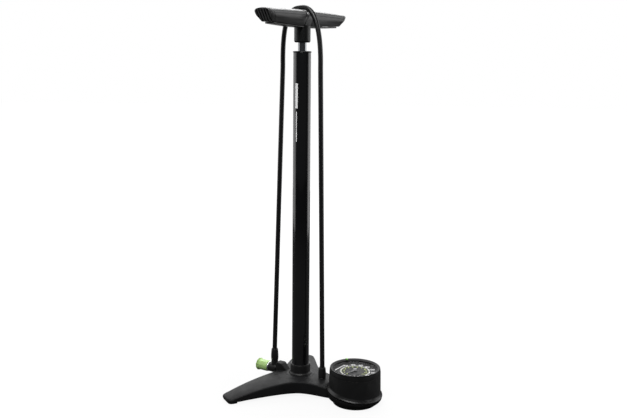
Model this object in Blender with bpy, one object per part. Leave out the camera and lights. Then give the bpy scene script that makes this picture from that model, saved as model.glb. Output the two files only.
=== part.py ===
"""Floor pump for bicycles: a tripod base with a dial gauge, a barrel, a T handle, a hose and a chuck.

Every length below is in millimetres and is scaled to metres as a mesh is made. +Z is up. The
origin is on the floor under the barrel's axis, the rear leg points along +Y, the gauge stands on
the leg at 330 degrees and the chuck is docked at 150 degrees. The handle is fully down.
"""
import math

import bmesh
import bpy
from mathutils import Vector

MM = 0.001
GAP = 0.3

# base
LEG_ANGLES = {"rear": 90.0, "left": 210.0, "gauge": 330.0}
WEB_R = 46.0            # nearest the concave sides come to the axis
LEG_REACH = 157.0
LEG_ROUND_FROM = 142.0  # where the blunt end starts to round
LEG_END_HALF = 19.6
LEG_TAPER = 0.12
EDGE_TOP_Z = 28.4       # top edge at WEB_R
ARCH_Z = 6.2
SHOE_Z = 1.3            # underside of the gauge leg at its foot
TOE_Z = 3.0             # underside of the other two legs at their ends
PAD_FROM = 139.0
HUB_R = 22.4
HUB_Z = 31.0
BASE_WALL = 4.0
BORE_R = 16.4
BORE_FLOOR_Z = 14.0
CHAMBER_R = 9.0
CHAMBER_FLOOR_Z = 5.5
AIR_WAY_Z = 11.0
OUTLET_R = 50.0

# gauge
GAUGE_R = 122.0
CUP_R = 51.2
CUP_FLOOR_R = 42.0
CUP_TOP_Z = 13.7
POCKET_R = 52.3
DIAL_Z = 58.6
WINDOW_R = 39.3
BEZEL_TOP_Z = 67.3
SECTOR_TEETH = 84
PINION_TEETH = 14
GEAR_MODULE = 0.5
GEAR_CENTRES = 24.6
GEAR_Z = 37.0

# barrel, rod and piston
BARREL_R = 16.0
BARREL_INNER_R = 14.6
BARREL_FOOT_Z = 16.0
BARREL_TOP_Z = 640.7
CAP_TOP_Z = 643.5
ROD_R = 7.8
PISTON_Z = 43.5

# handle
HANDLE_TURN = 56.2
HANDLE_HALF = 113.0
HANDLE_WIDE = 19.0
STEM_FOOT_Z = 659.0
HANDLE_LIP_Z = 685.0
SHOULDER_Z = 708.0
CROWN_Z = 716.2
NOTCH_HALF = 8.5
CAP_FROM = 104.0
BEAM_HALF = 84.0
END_SLANT = 0.60        # how far the end leans out for each mm of height

# chuck, measured along its own axis outward from the hose socket
CHUCK_ANGLE = 150.0
CHUCK_R = 61.0
CHUCK_Z = 27.2
FERRULE_Z = 43.9        # foot of the ferrule on the chuck

# hose
HOSE_R = 4.5
HOSE_TOP_Z = 725.0
HOSE_SHOULDER_Z = 612.0  # where the loop over the handle meets the straight strands
HOSE_SPREAD = {"gauge": 41.5, "chuck": 45.1}
HOSE_ROUND = {"gauge": 2.4, "chuck": 3.0}


def clear_scene():
    for ob in list(bpy.data.objects):
        bpy.data.objects.remove(ob, do_unlink=True)


def finish(name, colour, roughness, metallic=0.0):
    """A painted, moulded or metal finish."""
    made = bpy.data.materials.get(name)
    if made is None:
        made = bpy.data.materials.new(name)
        made.use_nodes = True
        shader = made.node_tree.nodes["Principled BSDF"]
        shader.inputs["Base Color"].default_value = (*colour, 1.0)
        shader.inputs["Roughness"].default_value = roughness
        shader.inputs["Metallic"].default_value = metallic
        made.diffuse_color = (*colour, 1.0)
    return made


def polar(radius, degrees, z=0.0):
    a = math.radians(degrees)
    return Vector((radius * math.cos(a), radius * math.sin(a), z)) * MM


def empty(name, place, turn=(0.0, 0.0, 0.0), parent=None):
    """An axis that moving pieces hang on."""
    ob = bpy.data.objects.new(name, None)
    ob.empty_display_size = 0.02
    ob.location = place
    ob.rotation_euler = [math.radians(t) for t in turn]
    ob.parent = parent
    bpy.context.scene.collection.objects.link(ob)
    return ob


def place(name, bm, material, parent=None, sharp=35.0):
    """Turn a bmesh into a named object with outward faces and a material of its own."""
    bmesh.ops.remove_doubles(bm, verts=bm.verts, dist=2e-6)
    bmesh.ops.recalc_face_normals(bm, faces=bm.faces)
    mesh = bpy.data.meshes.new(name)
    bm.to_mesh(mesh)
    bm.free()
    ob = bpy.data.objects.new(name, mesh)
    bpy.context.scene.collection.objects.link(ob)
    ob.parent = parent
    if material is None:
        ob.hide_render = True
        ob.display_type = "WIRE"
    else:
        own = material.copy()
        own.name = name
        mesh.materials.append(own)
        mesh.shade_smooth()
        mesh.set_sharp_from_angle(angle=math.radians(sharp))
    return ob


def turned(name, profile, material, parent=None, segments=24, at=(0.0, 0.0, 0.0)):
    """A solid of revolution about local Z from (radius, height) points.

    A profile that starts and ends on the axis makes a solid; any other one is closed to a ring.
    """
    bm = bmesh.new()
    verts = [bm.verts.new(Vector((at[0] + r, at[1], at[2] + z)) * MM) for r, z in profile]
    ring = profile[0][0] > 0 or profile[-1][0] > 0
    pairs = list(zip(verts, verts[1:]))
    if ring:
        pairs.append((verts[-1], verts[0]))
    edges = [bm.edges.new(pair) for pair in pairs]
    bmesh.ops.spin(
        bm,
        geom=verts + edges,
        cent=Vector(at) * MM,
        axis=(0.0, 0.0, 1.0),
        angle=2.0 * math.pi,
        steps=segments,
        use_merge=True,
        use_duplicate=False,
    )
    return place(name, bm, material, parent)


def ring(name, inner, outer, low, high, material, parent=None, segments=24):
    """A plain washer or sleeve."""
    profile = [(outer, high), (outer, low), (inner, low), (inner, high)]
    return turned(name, profile, material, parent, segments)


def disc(name, radius, low, high, material, parent=None, segments=24, at=(0.0, 0.0, 0.0)):
    profile = [(0.0, high), (radius, high), (radius, low), (0.0, low)]
    return turned(name, profile, material, parent, segments, at)


def slab(name, outline, low, high, material, parent=None):
    """An outline in the XY plane extruded from low to high."""
    bm = bmesh.new()
    face = bm.faces.new([bm.verts.new(Vector((x, y, low)) * MM) for x, y in outline])
    grown = bmesh.ops.extrude_face_region(bm, geom=[face])["geom"]
    top = [g for g in grown if isinstance(g, bmesh.types.BMVert)]
    bmesh.ops.translate(bm, verts=top, vec=(0.0, 0.0, (high - low) * MM))
    return place(name, bm, material, parent)


def loft(name, sections, material, parent=None, sharp=35.0):
    """A skin over closed sections of equal point count, with a face on each end."""
    bm = bmesh.new()
    rows = [[bm.verts.new(Vector(p) * MM) for p in section] for section in sections]
    for near, far in zip(rows, rows[1:]):
        count = len(near)
        for i in range(count):
            j = (i + 1) % count
            bm.faces.new((near[i], near[j], far[j], far[i]))
    bm.faces.new(rows[0])
    bm.faces.new(rows[-1])
    return place(name, bm, material, parent, sharp)


def swept(name, points, radius, sides, material, parent=None):
    """A round bar along a path; each section is square to the path and never twists."""
    path = [Vector(p) for p in points]
    sections = []
    across = None
    for i, p in enumerate(path):
        ahead = (path[min(i + 1, len(path) - 1)] - path[max(i - 1, 0)]).normalized()
        if across is None:
            across = ahead.orthogonal()
        across = (across - ahead * across.dot(ahead)).normalized()
        third = ahead.cross(across)
        section = []
        for k in range(sides):
            a = 2.0 * math.pi * k / sides
            section.append(p + radius * (across * math.cos(a) + third * math.sin(a)))
        sections.append(section)
    return loft(name, sections, material, parent, 60.0)


def cut(ob, tool, operation="DIFFERENCE"):
    """Cut a tool out of a piece, or join it on."""
    tool.hide_render = True
    tool.display_type = "WIRE"
    step = ob.modifiers.new(tool.name, "BOOLEAN")
    step.operation = operation
    step.object = tool
    step.solver = "EXACT"


def arc(radius, start, end, count, centre=(0.0, 0.0)):
    """Points on an arc, ends included."""
    angles = [math.radians(start + (end - start) * i / count) for i in range(count + 1)]
    return [(centre[0] + radius * math.cos(a), centre[1] + radius * math.sin(a)) for a in angles]


# ---------------------------------------------------------------- base

def half_width(x, gauge):
    """Half the width of a leg, x out along it."""
    straight = LEG_END_HALF + LEG_TAPER * (LEG_ROUND_FROM - x)
    web_x = WEB_R * 0.5
    fillet = WEB_R * math.sqrt(0.75) - LEG_END_HALF - LEG_TAPER * (LEG_ROUND_FROM - web_x)
    reach = fillet / (math.tan(math.radians(30.0)) - LEG_TAPER)
    width = straight + fillet * math.exp((web_x - x) / reach)
    if gauge and x > GAUGE_R - CUP_R:
        width = max(width, math.sqrt(CUP_R ** 2 - (x - GAUGE_R) ** 2))
    return width


def top_height(x, y, gauge):
    """Height of the arched, slightly crowned upper face."""
    out = math.hypot(x, y)
    past = max(out - WEB_R, 0.0)
    edge = EDGE_TOP_Z - 0.085 * past - 0.00105 * past ** 2
    across = min(abs(y) / half_width(min(max(x, WEB_R / 2), LEG_ROUND_FROM), gauge), 1.0)
    crown = (2.0 + 1.4 * min(past / 60.0, 1.0)) * (1.0 - across ** 2)
    return max(edge + crown, CUP_TOP_Z + 0.6 if gauge else 5.5)


def foot_height(out, gauge):
    """Height of the arched underside."""
    low = SHOE_Z if gauge else TOE_Z
    t = min(max((out - 50.0) / 86.0, 0.0), 1.0)
    return low + (ARCH_Z - low) * (1.0 - t ** 2.2)


def leg_point(x, u, gauge, inset=0.0):
    """Plan position in a leg's own frame; u runs -1 to 1 across. The first station is the arc of
    the hub circle and the last one is the rounded end, so the columns fan out smoothly."""
    last = GAUGE_R if gauge else LEG_ROUND_FROM
    bulge_end = CUP_R if gauge else LEG_REACH - LEG_ROUND_FROM
    first = WEB_R / 2
    t = (x - first) / (last - first)
    bulge = first * (1.0 - t) ** 2 + bulge_end * t ** 2
    spread = math.radians(60.0 + 30.0 * t)
    fan = (math.cos(spread * u) - math.cos(spread)) / (1.0 - math.cos(spread))
    width = half_width(x, gauge) - inset
    side = math.sin(spread * u) / math.sin(spread)
    if not gauge:
        blunt = 1.0 - 0.42 * t ** 4
        fan = max(fan, 0.0) ** blunt
        side = math.copysign(abs(side) ** blunt, side)
    return x + bulge * fan, width * side


def base_body():
    """The three-legged arch as one closed skin."""
    bm = bmesh.new()
    columns = 12
    normal = (23.0, 30.0, 41.0, 56.0, 76.0, 98.0, 120.0, LEG_ROUND_FROM)
    cup = (23.0, 30.0, 41.0, 55.0, 69.0, 79.0, 88.0, 98.0, 110.0, GAUGE_R)
    hub_rows = {"top": [], "foot": []}
    for leg, turn in LEG_ANGLES.items():
        gauge = leg == "gauge"
        upper, lower = [], []
        for x in cup if gauge else normal:
            tops, feet = [], []
            for i in range(columns + 1):
                u = 2.0 * i / columns - 1.0
                px, py = leg_point(x, u, gauge)
                z = top_height(px, py, gauge)
                tops.append(bm.verts.new(swing(px, py, turn, z)))
                bx, by = px, py
                if gauge:
                    t = min(max((x - 65.0) / 36.0, 0.0), 1.0)
                    squeeze = 1.0 + (CUP_FLOOR_R / CUP_R - 1.0) * t * t * (3.0 - 2.0 * t)
                    bx = GAUGE_R + (px - GAUGE_R) * squeeze
                    by = py * squeeze
                feet.append(bm.verts.new(swing(bx, by, turn, foot_height(math.hypot(px, py), gauge))))
            upper.append(tops)
            lower.append(feet)
        for rows in (upper, lower):
            for near, far in zip(rows, rows[1:]):
                for i in range(columns):
                    bm.faces.new((near[i], near[i + 1], far[i + 1], far[i]))
        for k in range(len(upper) - 1):
            for i in (0, columns):
                bm.faces.new((upper[k][i], upper[k + 1][i], lower[k + 1][i], lower[k][i]))
        for i in range(columns):
            bm.faces.new((upper[-1][i], upper[-1][i + 1], lower[-1][i + 1], lower[-1][i]))
        for key, rows in (("top", upper), ("foot", lower)):
            hub_rows[key].append([v.co.copy() for v in rows[0]])
    for key, z_in in (("top", HUB_Z - 0.4), ("foot", ARCH_Z)):
        around = [co for arc_row in hub_rows[key] for co in arc_row[:-1]]
        outer = [bm.verts.new(co) for co in around]
        inner = []
        for co in around:
            flat = Vector((co.x, co.y, 0.0)).normalized() * 20.0 * MM
            inner.append(bm.verts.new((flat.x, flat.y, z_in * MM)))
        count = len(outer)
        for i in range(count):
            j = (i + 1) % count
            bm.faces.new((outer[i], outer[j], inner[j], inner[i]))
        bm.faces.new(inner)
    return bm


def swing(x, y, degrees, z):
    """A leg-frame point in the pump's frame, in metres."""
    a = math.radians(degrees)
    c, s = math.cos(a), math.sin(a)
    return Vector((x * c - y * s, x * s + y * c, z)) * MM


def leg_pocket(name, degrees):
    """The hollow under a leg, open at the bottom."""
    bm = bmesh.new()
    rows = {"roof": [], "mouth": []}
    for x in (34.0, 50.0, 72.0, 94.0, 114.0):
        roof, mouth = [], []
        for i in range(9):
            u = i / 4.0 - 1.0
            px, py = leg_point(x, u * 0.9, False, BASE_WALL)
            roof.append(bm.verts.new(swing(px, py, degrees, top_height(px, py, False) - BASE_WALL)))
            mouth.append(bm.verts.new(swing(px, py, degrees, -6.0)))
        rows["roof"].append(roof)
        rows["mouth"].append(mouth)
    for grid in rows.values():
        for near, far in zip(grid, grid[1:]):
            for i in range(8):
                bm.faces.new((near[i], near[i + 1], far[i + 1], far[i]))
    roof, mouth = rows["roof"], rows["mouth"]
    for k in range(len(roof) - 1):
        for i in (0, 8):
            bm.faces.new((roof[k][i], roof[k + 1][i], mouth[k + 1][i], mouth[k][i]))
    for k in (0, -1):
        for i in range(8):
            bm.faces.new((roof[k][i], roof[k][i + 1], mouth[k][i + 1], mouth[k][i]))
    return place(name, bm, None)


def drill(name, radius, start, end, segments=20):
    """A cutter cylinder between two points given in millimetres."""
    a, b = Vector(start) * MM, Vector(end) * MM
    bm = bmesh.new()
    made = bmesh.ops.create_cone(
        bm, cap_ends=True, segments=segments, radius1=radius * MM, radius2=radius * MM,
        depth=(b - a).length,
    )
    turn = (b - a).to_track_quat("Z", "Y").to_matrix()
    bmesh.ops.rotate(bm, verts=made["verts"], matrix=turn, cent=(0.0, 0.0, 0.0))
    bmesh.ops.translate(bm, verts=made["verts"], vec=(a + b) / 2)
    return place(name, bm, None)


def build_base():
    enamel = finish("enamel_charcoal", (0.035, 0.037, 0.040), 0.38, 0.35)
    rubber = finish("rubber", (0.018, 0.018, 0.018), 0.85)
    zinc = finish("zinc", (0.55, 0.56, 0.58), 0.35, 1.0)
    black = finish("black_moulding", (0.02, 0.02, 0.021), 0.45)
    base = place("base_casting", base_body(), enamel)
    hub = disc("tool_hub", HUB_R, 2.2, HUB_Z, None, None, 30)
    cut(base, hub, "UNION")
    cut(base, dock_block(), "UNION")
    for leg in ("rear", "left"):
        cut(base, leg_pocket("tool_pocket_" + leg, LEG_ANGLES[leg]))
    angle = LEG_ANGLES["gauge"]
    gauge = polar(GAUGE_R, angle) / MM
    outlet = polar(OUTLET_R, angle) / MM
    cut(base, drill("tool_bore", BORE_R, (0, 0, BORE_FLOOR_Z), (0, 0, 60), 36))
    cut(base, drill("tool_chamber", CHAMBER_R, (0, 0, CHAMBER_FLOOR_Z), (0, 0, 20), 32))
    seat = (gauge.x, gauge.y)
    cut(base, drill("tool_gauge_seat", POCKET_R, (*seat, CUP_TOP_Z), (*seat, 90), 48))
    cut(base, drill("tool_gauge_port", 2.0, (*seat, AIR_WAY_Z), (*seat, 20)))
    spot = (outlet.x, outlet.y)
    cut(base, drill("tool_outlet_seat", 7.5, (*spot, 28.0), (*spot, 50), 32))
    cut(base, drill("tool_outlet_hole", 4.0, (*spot, 14.0), (*spot, 40)))
    cut(base, drill("tool_outlet_port", 2.1, (*spot, AIR_WAY_Z), (*spot, 20)))
    near, far = polar(6.0, angle, AIR_WAY_Z) / MM, polar(GAUGE_R + 1.0, angle, AIR_WAY_Z) / MM
    cut(base, drill("tool_air_way", 1.3, near, far, 12))
    near, far = polar(42.0, CHUCK_ANGLE, CHUCK_Z) / MM, polar(65.0, CHUCK_ANGLE, CHUCK_Z) / MM
    cut(base, drill("tool_dock_hole", 2.9, near, far))

    for leg in ("rear", "left"):
        outline = []
        for i in range(13):
            x, y = leg_point(LEG_ROUND_FROM, i / 6.0 - 1.0, False, 1.4)
            outline.append((min(x, LEG_REACH - 2.4), y))
        outline += [(PAD_FROM, outline[-1][1]), (PAD_FROM, outline[0][1])]
        slab("foot_pad_" + leg, turn_points(outline, LEG_ANGLES[leg]), 0.0, TOE_Z - GAP, rubber)
    disc("foot_pad_gauge", 40.0, 0.0, 1.0, rubber, None, 32, gauge)

    near, far = polar(42.6, CHUCK_ANGLE, CHUCK_Z), polar(58.3, CHUCK_ANGLE, CHUCK_Z)
    peg_axis = empty("dock_peg_axis", near, (0.0, 90.0, CHUCK_ANGLE))
    length = (far - near).length / MM
    turned(
        "dock_peg",
        [(0.0, length), (2.0, length), (2.6, length - 0.8), (2.6, 0.0), (0.0, 0.0)],
        black, peg_axis, 24,
    )
    ring("barrel_gasket", 9.8, 16.0, BORE_FLOOR_Z + GAP, BARREL_FOOT_Z - GAP, rubber)
    low = BARREL_FOOT_Z
    turned(
        "valve_seat",
        [(14.2, low), (8.5, low), (8.5, low + 4.6), (3.2, low + 4.6), (3.2, low + 11.0),
         (4.6, low + 12.0), (12.0, low + 12.0), (14.2, low + 9.8)],
        zinc,
    )
    turned(
        "check_valve_disc",
        [(0.0, 20.2), (6.8, 20.2), (6.8, 18.2), (0.0, 18.2)], rubber, None, 20,
    )
    coil("check_valve_spring", 4.5, 0.45, CHAMBER_FLOOR_Z + 0.9, 17.3, 4.0, zinc)
    turned(
        "hose_outlet",
        [(0.0, 31.3), (7.0, 31.3), (7.0, 28.3), (3.6, 28.3), (3.6, 14.5), (0.0, 14.5)],
        zinc, None, 20, outlet,
    )
    turned(
        "hose_ferrule_base",
        [(0.0, 37.5), (HOSE_R + GAP, 37.5), (HOSE_R + GAP, 52.0), (5.6, 52.0), (6.0, 50.6),
         (6.9, 42.0), (7.2, 39.0), (7.2, 31.6), (0.0, 31.6)],
        black, None, 24, outlet,
    )


def dock_block():
    """The raised boss on the hub that holds the chuck's peg."""
    sections = []
    for out, top, half in ((30.0, 32.0, 7.2), (40.0, 40.2, 8.0), (44.0, 42.0, 8.0),
                           (53.2, 41.4, 7.6)):
        low = 19.0
        corners = [(-half, low), (-half, top - 2.0), (-half + 2.0, top), (half - 2.0, top),
                   (half, top - 2.0), (half, low)]
        sections.append([swing(out, y, CHUCK_ANGLE, z) / MM for y, z in corners])
    return loft("tool_dock_block", sections, None)


def coil(name, radius, wire, low, high, turns, material):
    per_turn = 12
    count = int(turns * per_turn)
    points = []
    for i in range(count + 1):
        a = 2.0 * math.pi * i / per_turn
        z = low + (high - low) * i / count
        points.append((radius * math.cos(a), radius * math.sin(a), z))
    return swept(name, points, wire, 5, material)


# ---------------------------------------------------------------- barrel, rod and piston

def build_barrel():
    gloss = finish("gloss_black", (0.012, 0.012, 0.013), 0.12, 0.2)
    black = finish("black_moulding", (0.02, 0.02, 0.021), 0.45)
    rubber = finish("rubber", (0.018, 0.018, 0.018), 0.85)
    ring("barrel", BARREL_INNER_R, BARREL_R, BARREL_FOOT_Z, BARREL_TOP_Z, gloss, None, 32)
    turned(
        "barrel_collar",
        [(BARREL_R + 0.4, 50.5), (18.2, 50.5), (19.2, 49.4), (19.2, 33.6), (21.6, 32.2),
         (21.6, 31.3), (BARREL_R + 0.4, 31.3)],
        black,
    )
    low = BARREL_TOP_Z + GAP
    turned(
        "top_cap",
        [(9.8, CAP_TOP_Z), (15.4, CAP_TOP_Z), (16.3, CAP_TOP_Z - 0.7), (16.3, low), (14.2, low),
         (14.2, 620.0), (9.8, 620.0)],
        black,
    )
    brass = finish("brass", (0.62, 0.44, 0.18), 0.3, 1.0)
    ring("rod_bush", ROD_R + GAP, 9.5, 618.0, 637.5, brass)
    ring("rod_wiper", ROD_R + GAP, 9.5, 638.0, 643.0, rubber)


def build_piston():
    steel = finish("chrome_rod", (0.60, 0.61, 0.63), 0.12, 1.0)
    zinc = finish("zinc", (0.55, 0.56, 0.58), 0.35, 1.0)
    white = finish("white_moulding", (0.75, 0.75, 0.73), 0.5)
    rubber = finish("rubber", (0.018, 0.018, 0.018), 0.85)
    foot = PISTON_Z
    turned(
        "piston_rod",
        [(0.0, foot), (3.6, foot), (4.0, foot + 0.5), (4.0, foot + 22.0), (ROD_R, foot + 22.0),
         (ROD_R, 681.5), (6.8, 682.2), (3.3, 682.2), (3.3, 664.0), (0.0, 664.0)],
        steel, None, 28,
    )
    nut = arc(8.0, 0.0, 300.0, 5)
    made = slab("piston_nut", nut, foot + 0.5, foot + 6.5, zinc)
    cut(made, drill("tool_nut", 4.3, (0, 0, foot - 2), (0, 0, foot + 9)))
    turned(
        "piston_head",
        [(4.3, foot + 6.8), (13.9, foot + 6.8), (13.9, foot + 10.0), (11.6, foot + 10.0),
         (11.6, foot + 15.4), (13.9, foot + 15.4), (13.9, foot + 21.7), (4.3, foot + 21.7)],
        white,
    )
    turned(
        "piston_seal",
        [(11.9, foot + 10.4), (14.0, foot + 10.4), (14.35, foot + 12.7), (14.0, foot + 15.0),
         (11.9, foot + 15.0)],
        rubber,
    )
    ring("stop_bumper", ROD_R + GAP, 12.6, foot + 22.3, foot + 30.3, rubber)


# ---------------------------------------------------------------- handle

def handle_section(x, scale=1.0, channel=True):
    """A section across the handle at x: widest at the shoulders, crowned on top, with a channel
    under it that takes the core's beam. The plane leans out with height towards the ends."""
    lift = 2.0 * (abs(x) / HANDLE_HALF) ** 2
    crown = CROWN_Z - lift
    low = HANDLE_LIP_Z + 3.0 + lip_rise(x)
    side = [(11.2, low), (14.5, low + 5.0), (17.6, 700.0), (HANDLE_WIDE, SHOULDER_Z - 1.0 - lift),
            (18.4, SHOULDER_Z + 2.2 - lift), (14.0, crown - 1.9), (7.5, crown - 0.5)]
    mid_z = 702.0
    rim = [(y * scale, mid_z + (z - mid_z) * scale) for y, z in side]
    rim += [(0.0, mid_z + (crown - mid_z) * scale)]
    rim += [(-y, z) for y, z in reversed(rim[:-1])]
    if channel:
        rim += [(-7.0, low), (-7.0, 703.0), (7.0, 703.0), (7.0, low)]
    else:
        rim += [(-7.0, rim[-1][1]), (-3.0, rim[-1][1]), (3.0, rim[-1][1]), (7.0, rim[-1][1])]
    reach = max(abs(x) - 60.0, 0.0) / (HANDLE_HALF - 60.0)
    lean = END_SLANT * min(reach * 1.6, 1.0)
    sign = math.copysign(1.0, x)
    return [(x + sign * lean * (z - SHOULDER_Z), y, z) for y, z in rim]


def build_handle(axis):
    satin = finish("satin_grip", (0.060, 0.062, 0.066), 0.42, 0.1)
    black = finish("black_moulding", (0.02, 0.02, 0.021), 0.45)
    zinc = finish("zinc", (0.55, 0.56, 0.58), 0.35, 1.0)
    core = turned(
        "handle_core",
        [(ROD_R + 0.4, 683.0), (ROD_R + 0.4, STEM_FOOT_Z), (13.5, STEM_FOOT_Z), (14.8, 661.0),
         (14.8, HANDLE_LIP_Z + 2.0), (0.0, HANDLE_LIP_Z + 2.0), (0.0, 683.0)],
        black, axis,
    )
    plate = loft("tool_plate", [plate_section(x) for x in (-93.0, -62.0, -31.0, 0.0, 31.0, 62.0, 93.0)],
                 None, axis)
    cut(core, plate, "UNION")
    beam = [[(x, -6.6, 687.0), (x, -6.6, 702.6), (x, 6.6, 702.6), (x, 6.6, 687.0)]
            for x in (-BEAM_HALF, BEAM_HALF)]
    cut(core, loft("tool_beam", beam, None, axis), "UNION")
    edge = NOTCH_HALF - GAP
    saddle = []
    for x in (-edge, edge):
        side = [(-12.0, 686.2), (-17.6, 704.0), (-15.0, 708.6), (-8.0, 712.6), (0.0, 714.4),
                (8.0, 712.6), (15.0, 708.6), (17.6, 704.0), (12.0, 686.2)]
        saddle.append([(x, y, z) for y, z in side])
    cut(core, loft("tool_saddle", saddle, None, axis), "UNION")
    cut(core, drill_on(axis, "tool_bolt_hole", 3.3, 680.0, 720.0))
    cut(core, drill_on(axis, "tool_bolt_head", 5.6, 709.0, 722.0))
    for side, sign in (("left", -1.0), ("right", 1.0)):
        spots = (NOTCH_HALF, 30.0, 50.0, 60.0, 78.0, CAP_FROM - GAP)
        loft("handle_grip_" + side, [handle_section(sign * x) for x in spots], satin, axis)
        spots = ((CAP_FROM, 1.0), (HANDLE_HALF - 2.0, 1.0), (HANDLE_HALF - 0.5, 0.97),
                 (HANDLE_HALF, 0.91))
        cap = loft("end_cap_" + side, [handle_section(sign * x, k, False) for x, k in spots],
                   satin, axis)
        for i in range(5):
            cut(cap, end_groove("tool_groove_" + side + str(i), sign, (i - 2) * 5.8, axis))
    turned(
        "handle_bolt",
        [(0.0, 711.0), (1.6, 711.0), (1.6, 713.6), (5.2, 713.6), (5.2, 709.3), (2.8, 709.3),
         (2.8, 668.0), (0.0, 668.0)],
        zinc, axis, 24,
    )


def lip_rise(x):
    """The handle's underside sweeps up a little towards its ends."""
    return 3.0 * (min(abs(x), 93.0) / 93.0) ** 2


def end_groove(name, sign, y, axis):
    """One upright groove in the leaning end face of a handle cap."""
    deep, half = 2.2, 1.3
    sections = []
    for z in (682.0, 711.5):
        face = HANDLE_HALF + END_SLANT * (z - SHOULDER_Z)
        sections.append([(sign * (face - deep), y - half, z), (sign * (face - deep), y + half, z),
                         (sign * (face + 6.0), y + half, z), (sign * (face + 6.0), y - half, z)])
    return loft(name, sections, None, axis)


def plate_section(x):
    half = 11.0 - 1.4 * (abs(x) / 93.0) ** 2
    low = HANDLE_LIP_Z + lip_rise(x)
    return [(x, -half, low), (x, -half - 0.8, low + 1.2), (x, -half, low + 2.6),
            (x, half, low + 2.6), (x, half + 0.8, low + 1.2), (x, half, low)]


def drill_on(axis, name, radius, low, high):
    tool = drill(name, radius, (0, 0, low), (0, 0, high), 16)
    tool.parent = axis
    return tool


# ---------------------------------------------------------------- gauge

def involute(angle):
    return math.tan(angle) - angle


def tooth_ring(teeth, first, last, tip, root, turn, slack=0.09):
    """Outline points of gear teeth first..last about the origin, anticlockwise."""
    pressure = math.radians(20.0)
    pitch_r = GEAR_MODULE * teeth / 2.0
    base_r = pitch_r * math.cos(pressure)
    half = math.pi / (2.0 * teeth) - slack / (2.0 * pitch_r)
    levels = [root, max(base_r, root + 0.02), (max(base_r, root) + tip) / 2.0, tip]
    points = []
    for k in range(first, last + 1):
        centre = math.radians(turn) + 2.0 * math.pi * k / teeth
        spread = []
        for r in levels:
            roll = involute(math.acos(min(base_r / r, 1.0)))
            spread.append((r, half + involute(pressure) - roll))
        points += [(r, centre - s) for r, s in spread]
        points += [(r, centre + s) for r, s in reversed(spread)]
    return [(r * math.cos(a), r * math.sin(a)) for r, a in points]


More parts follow.
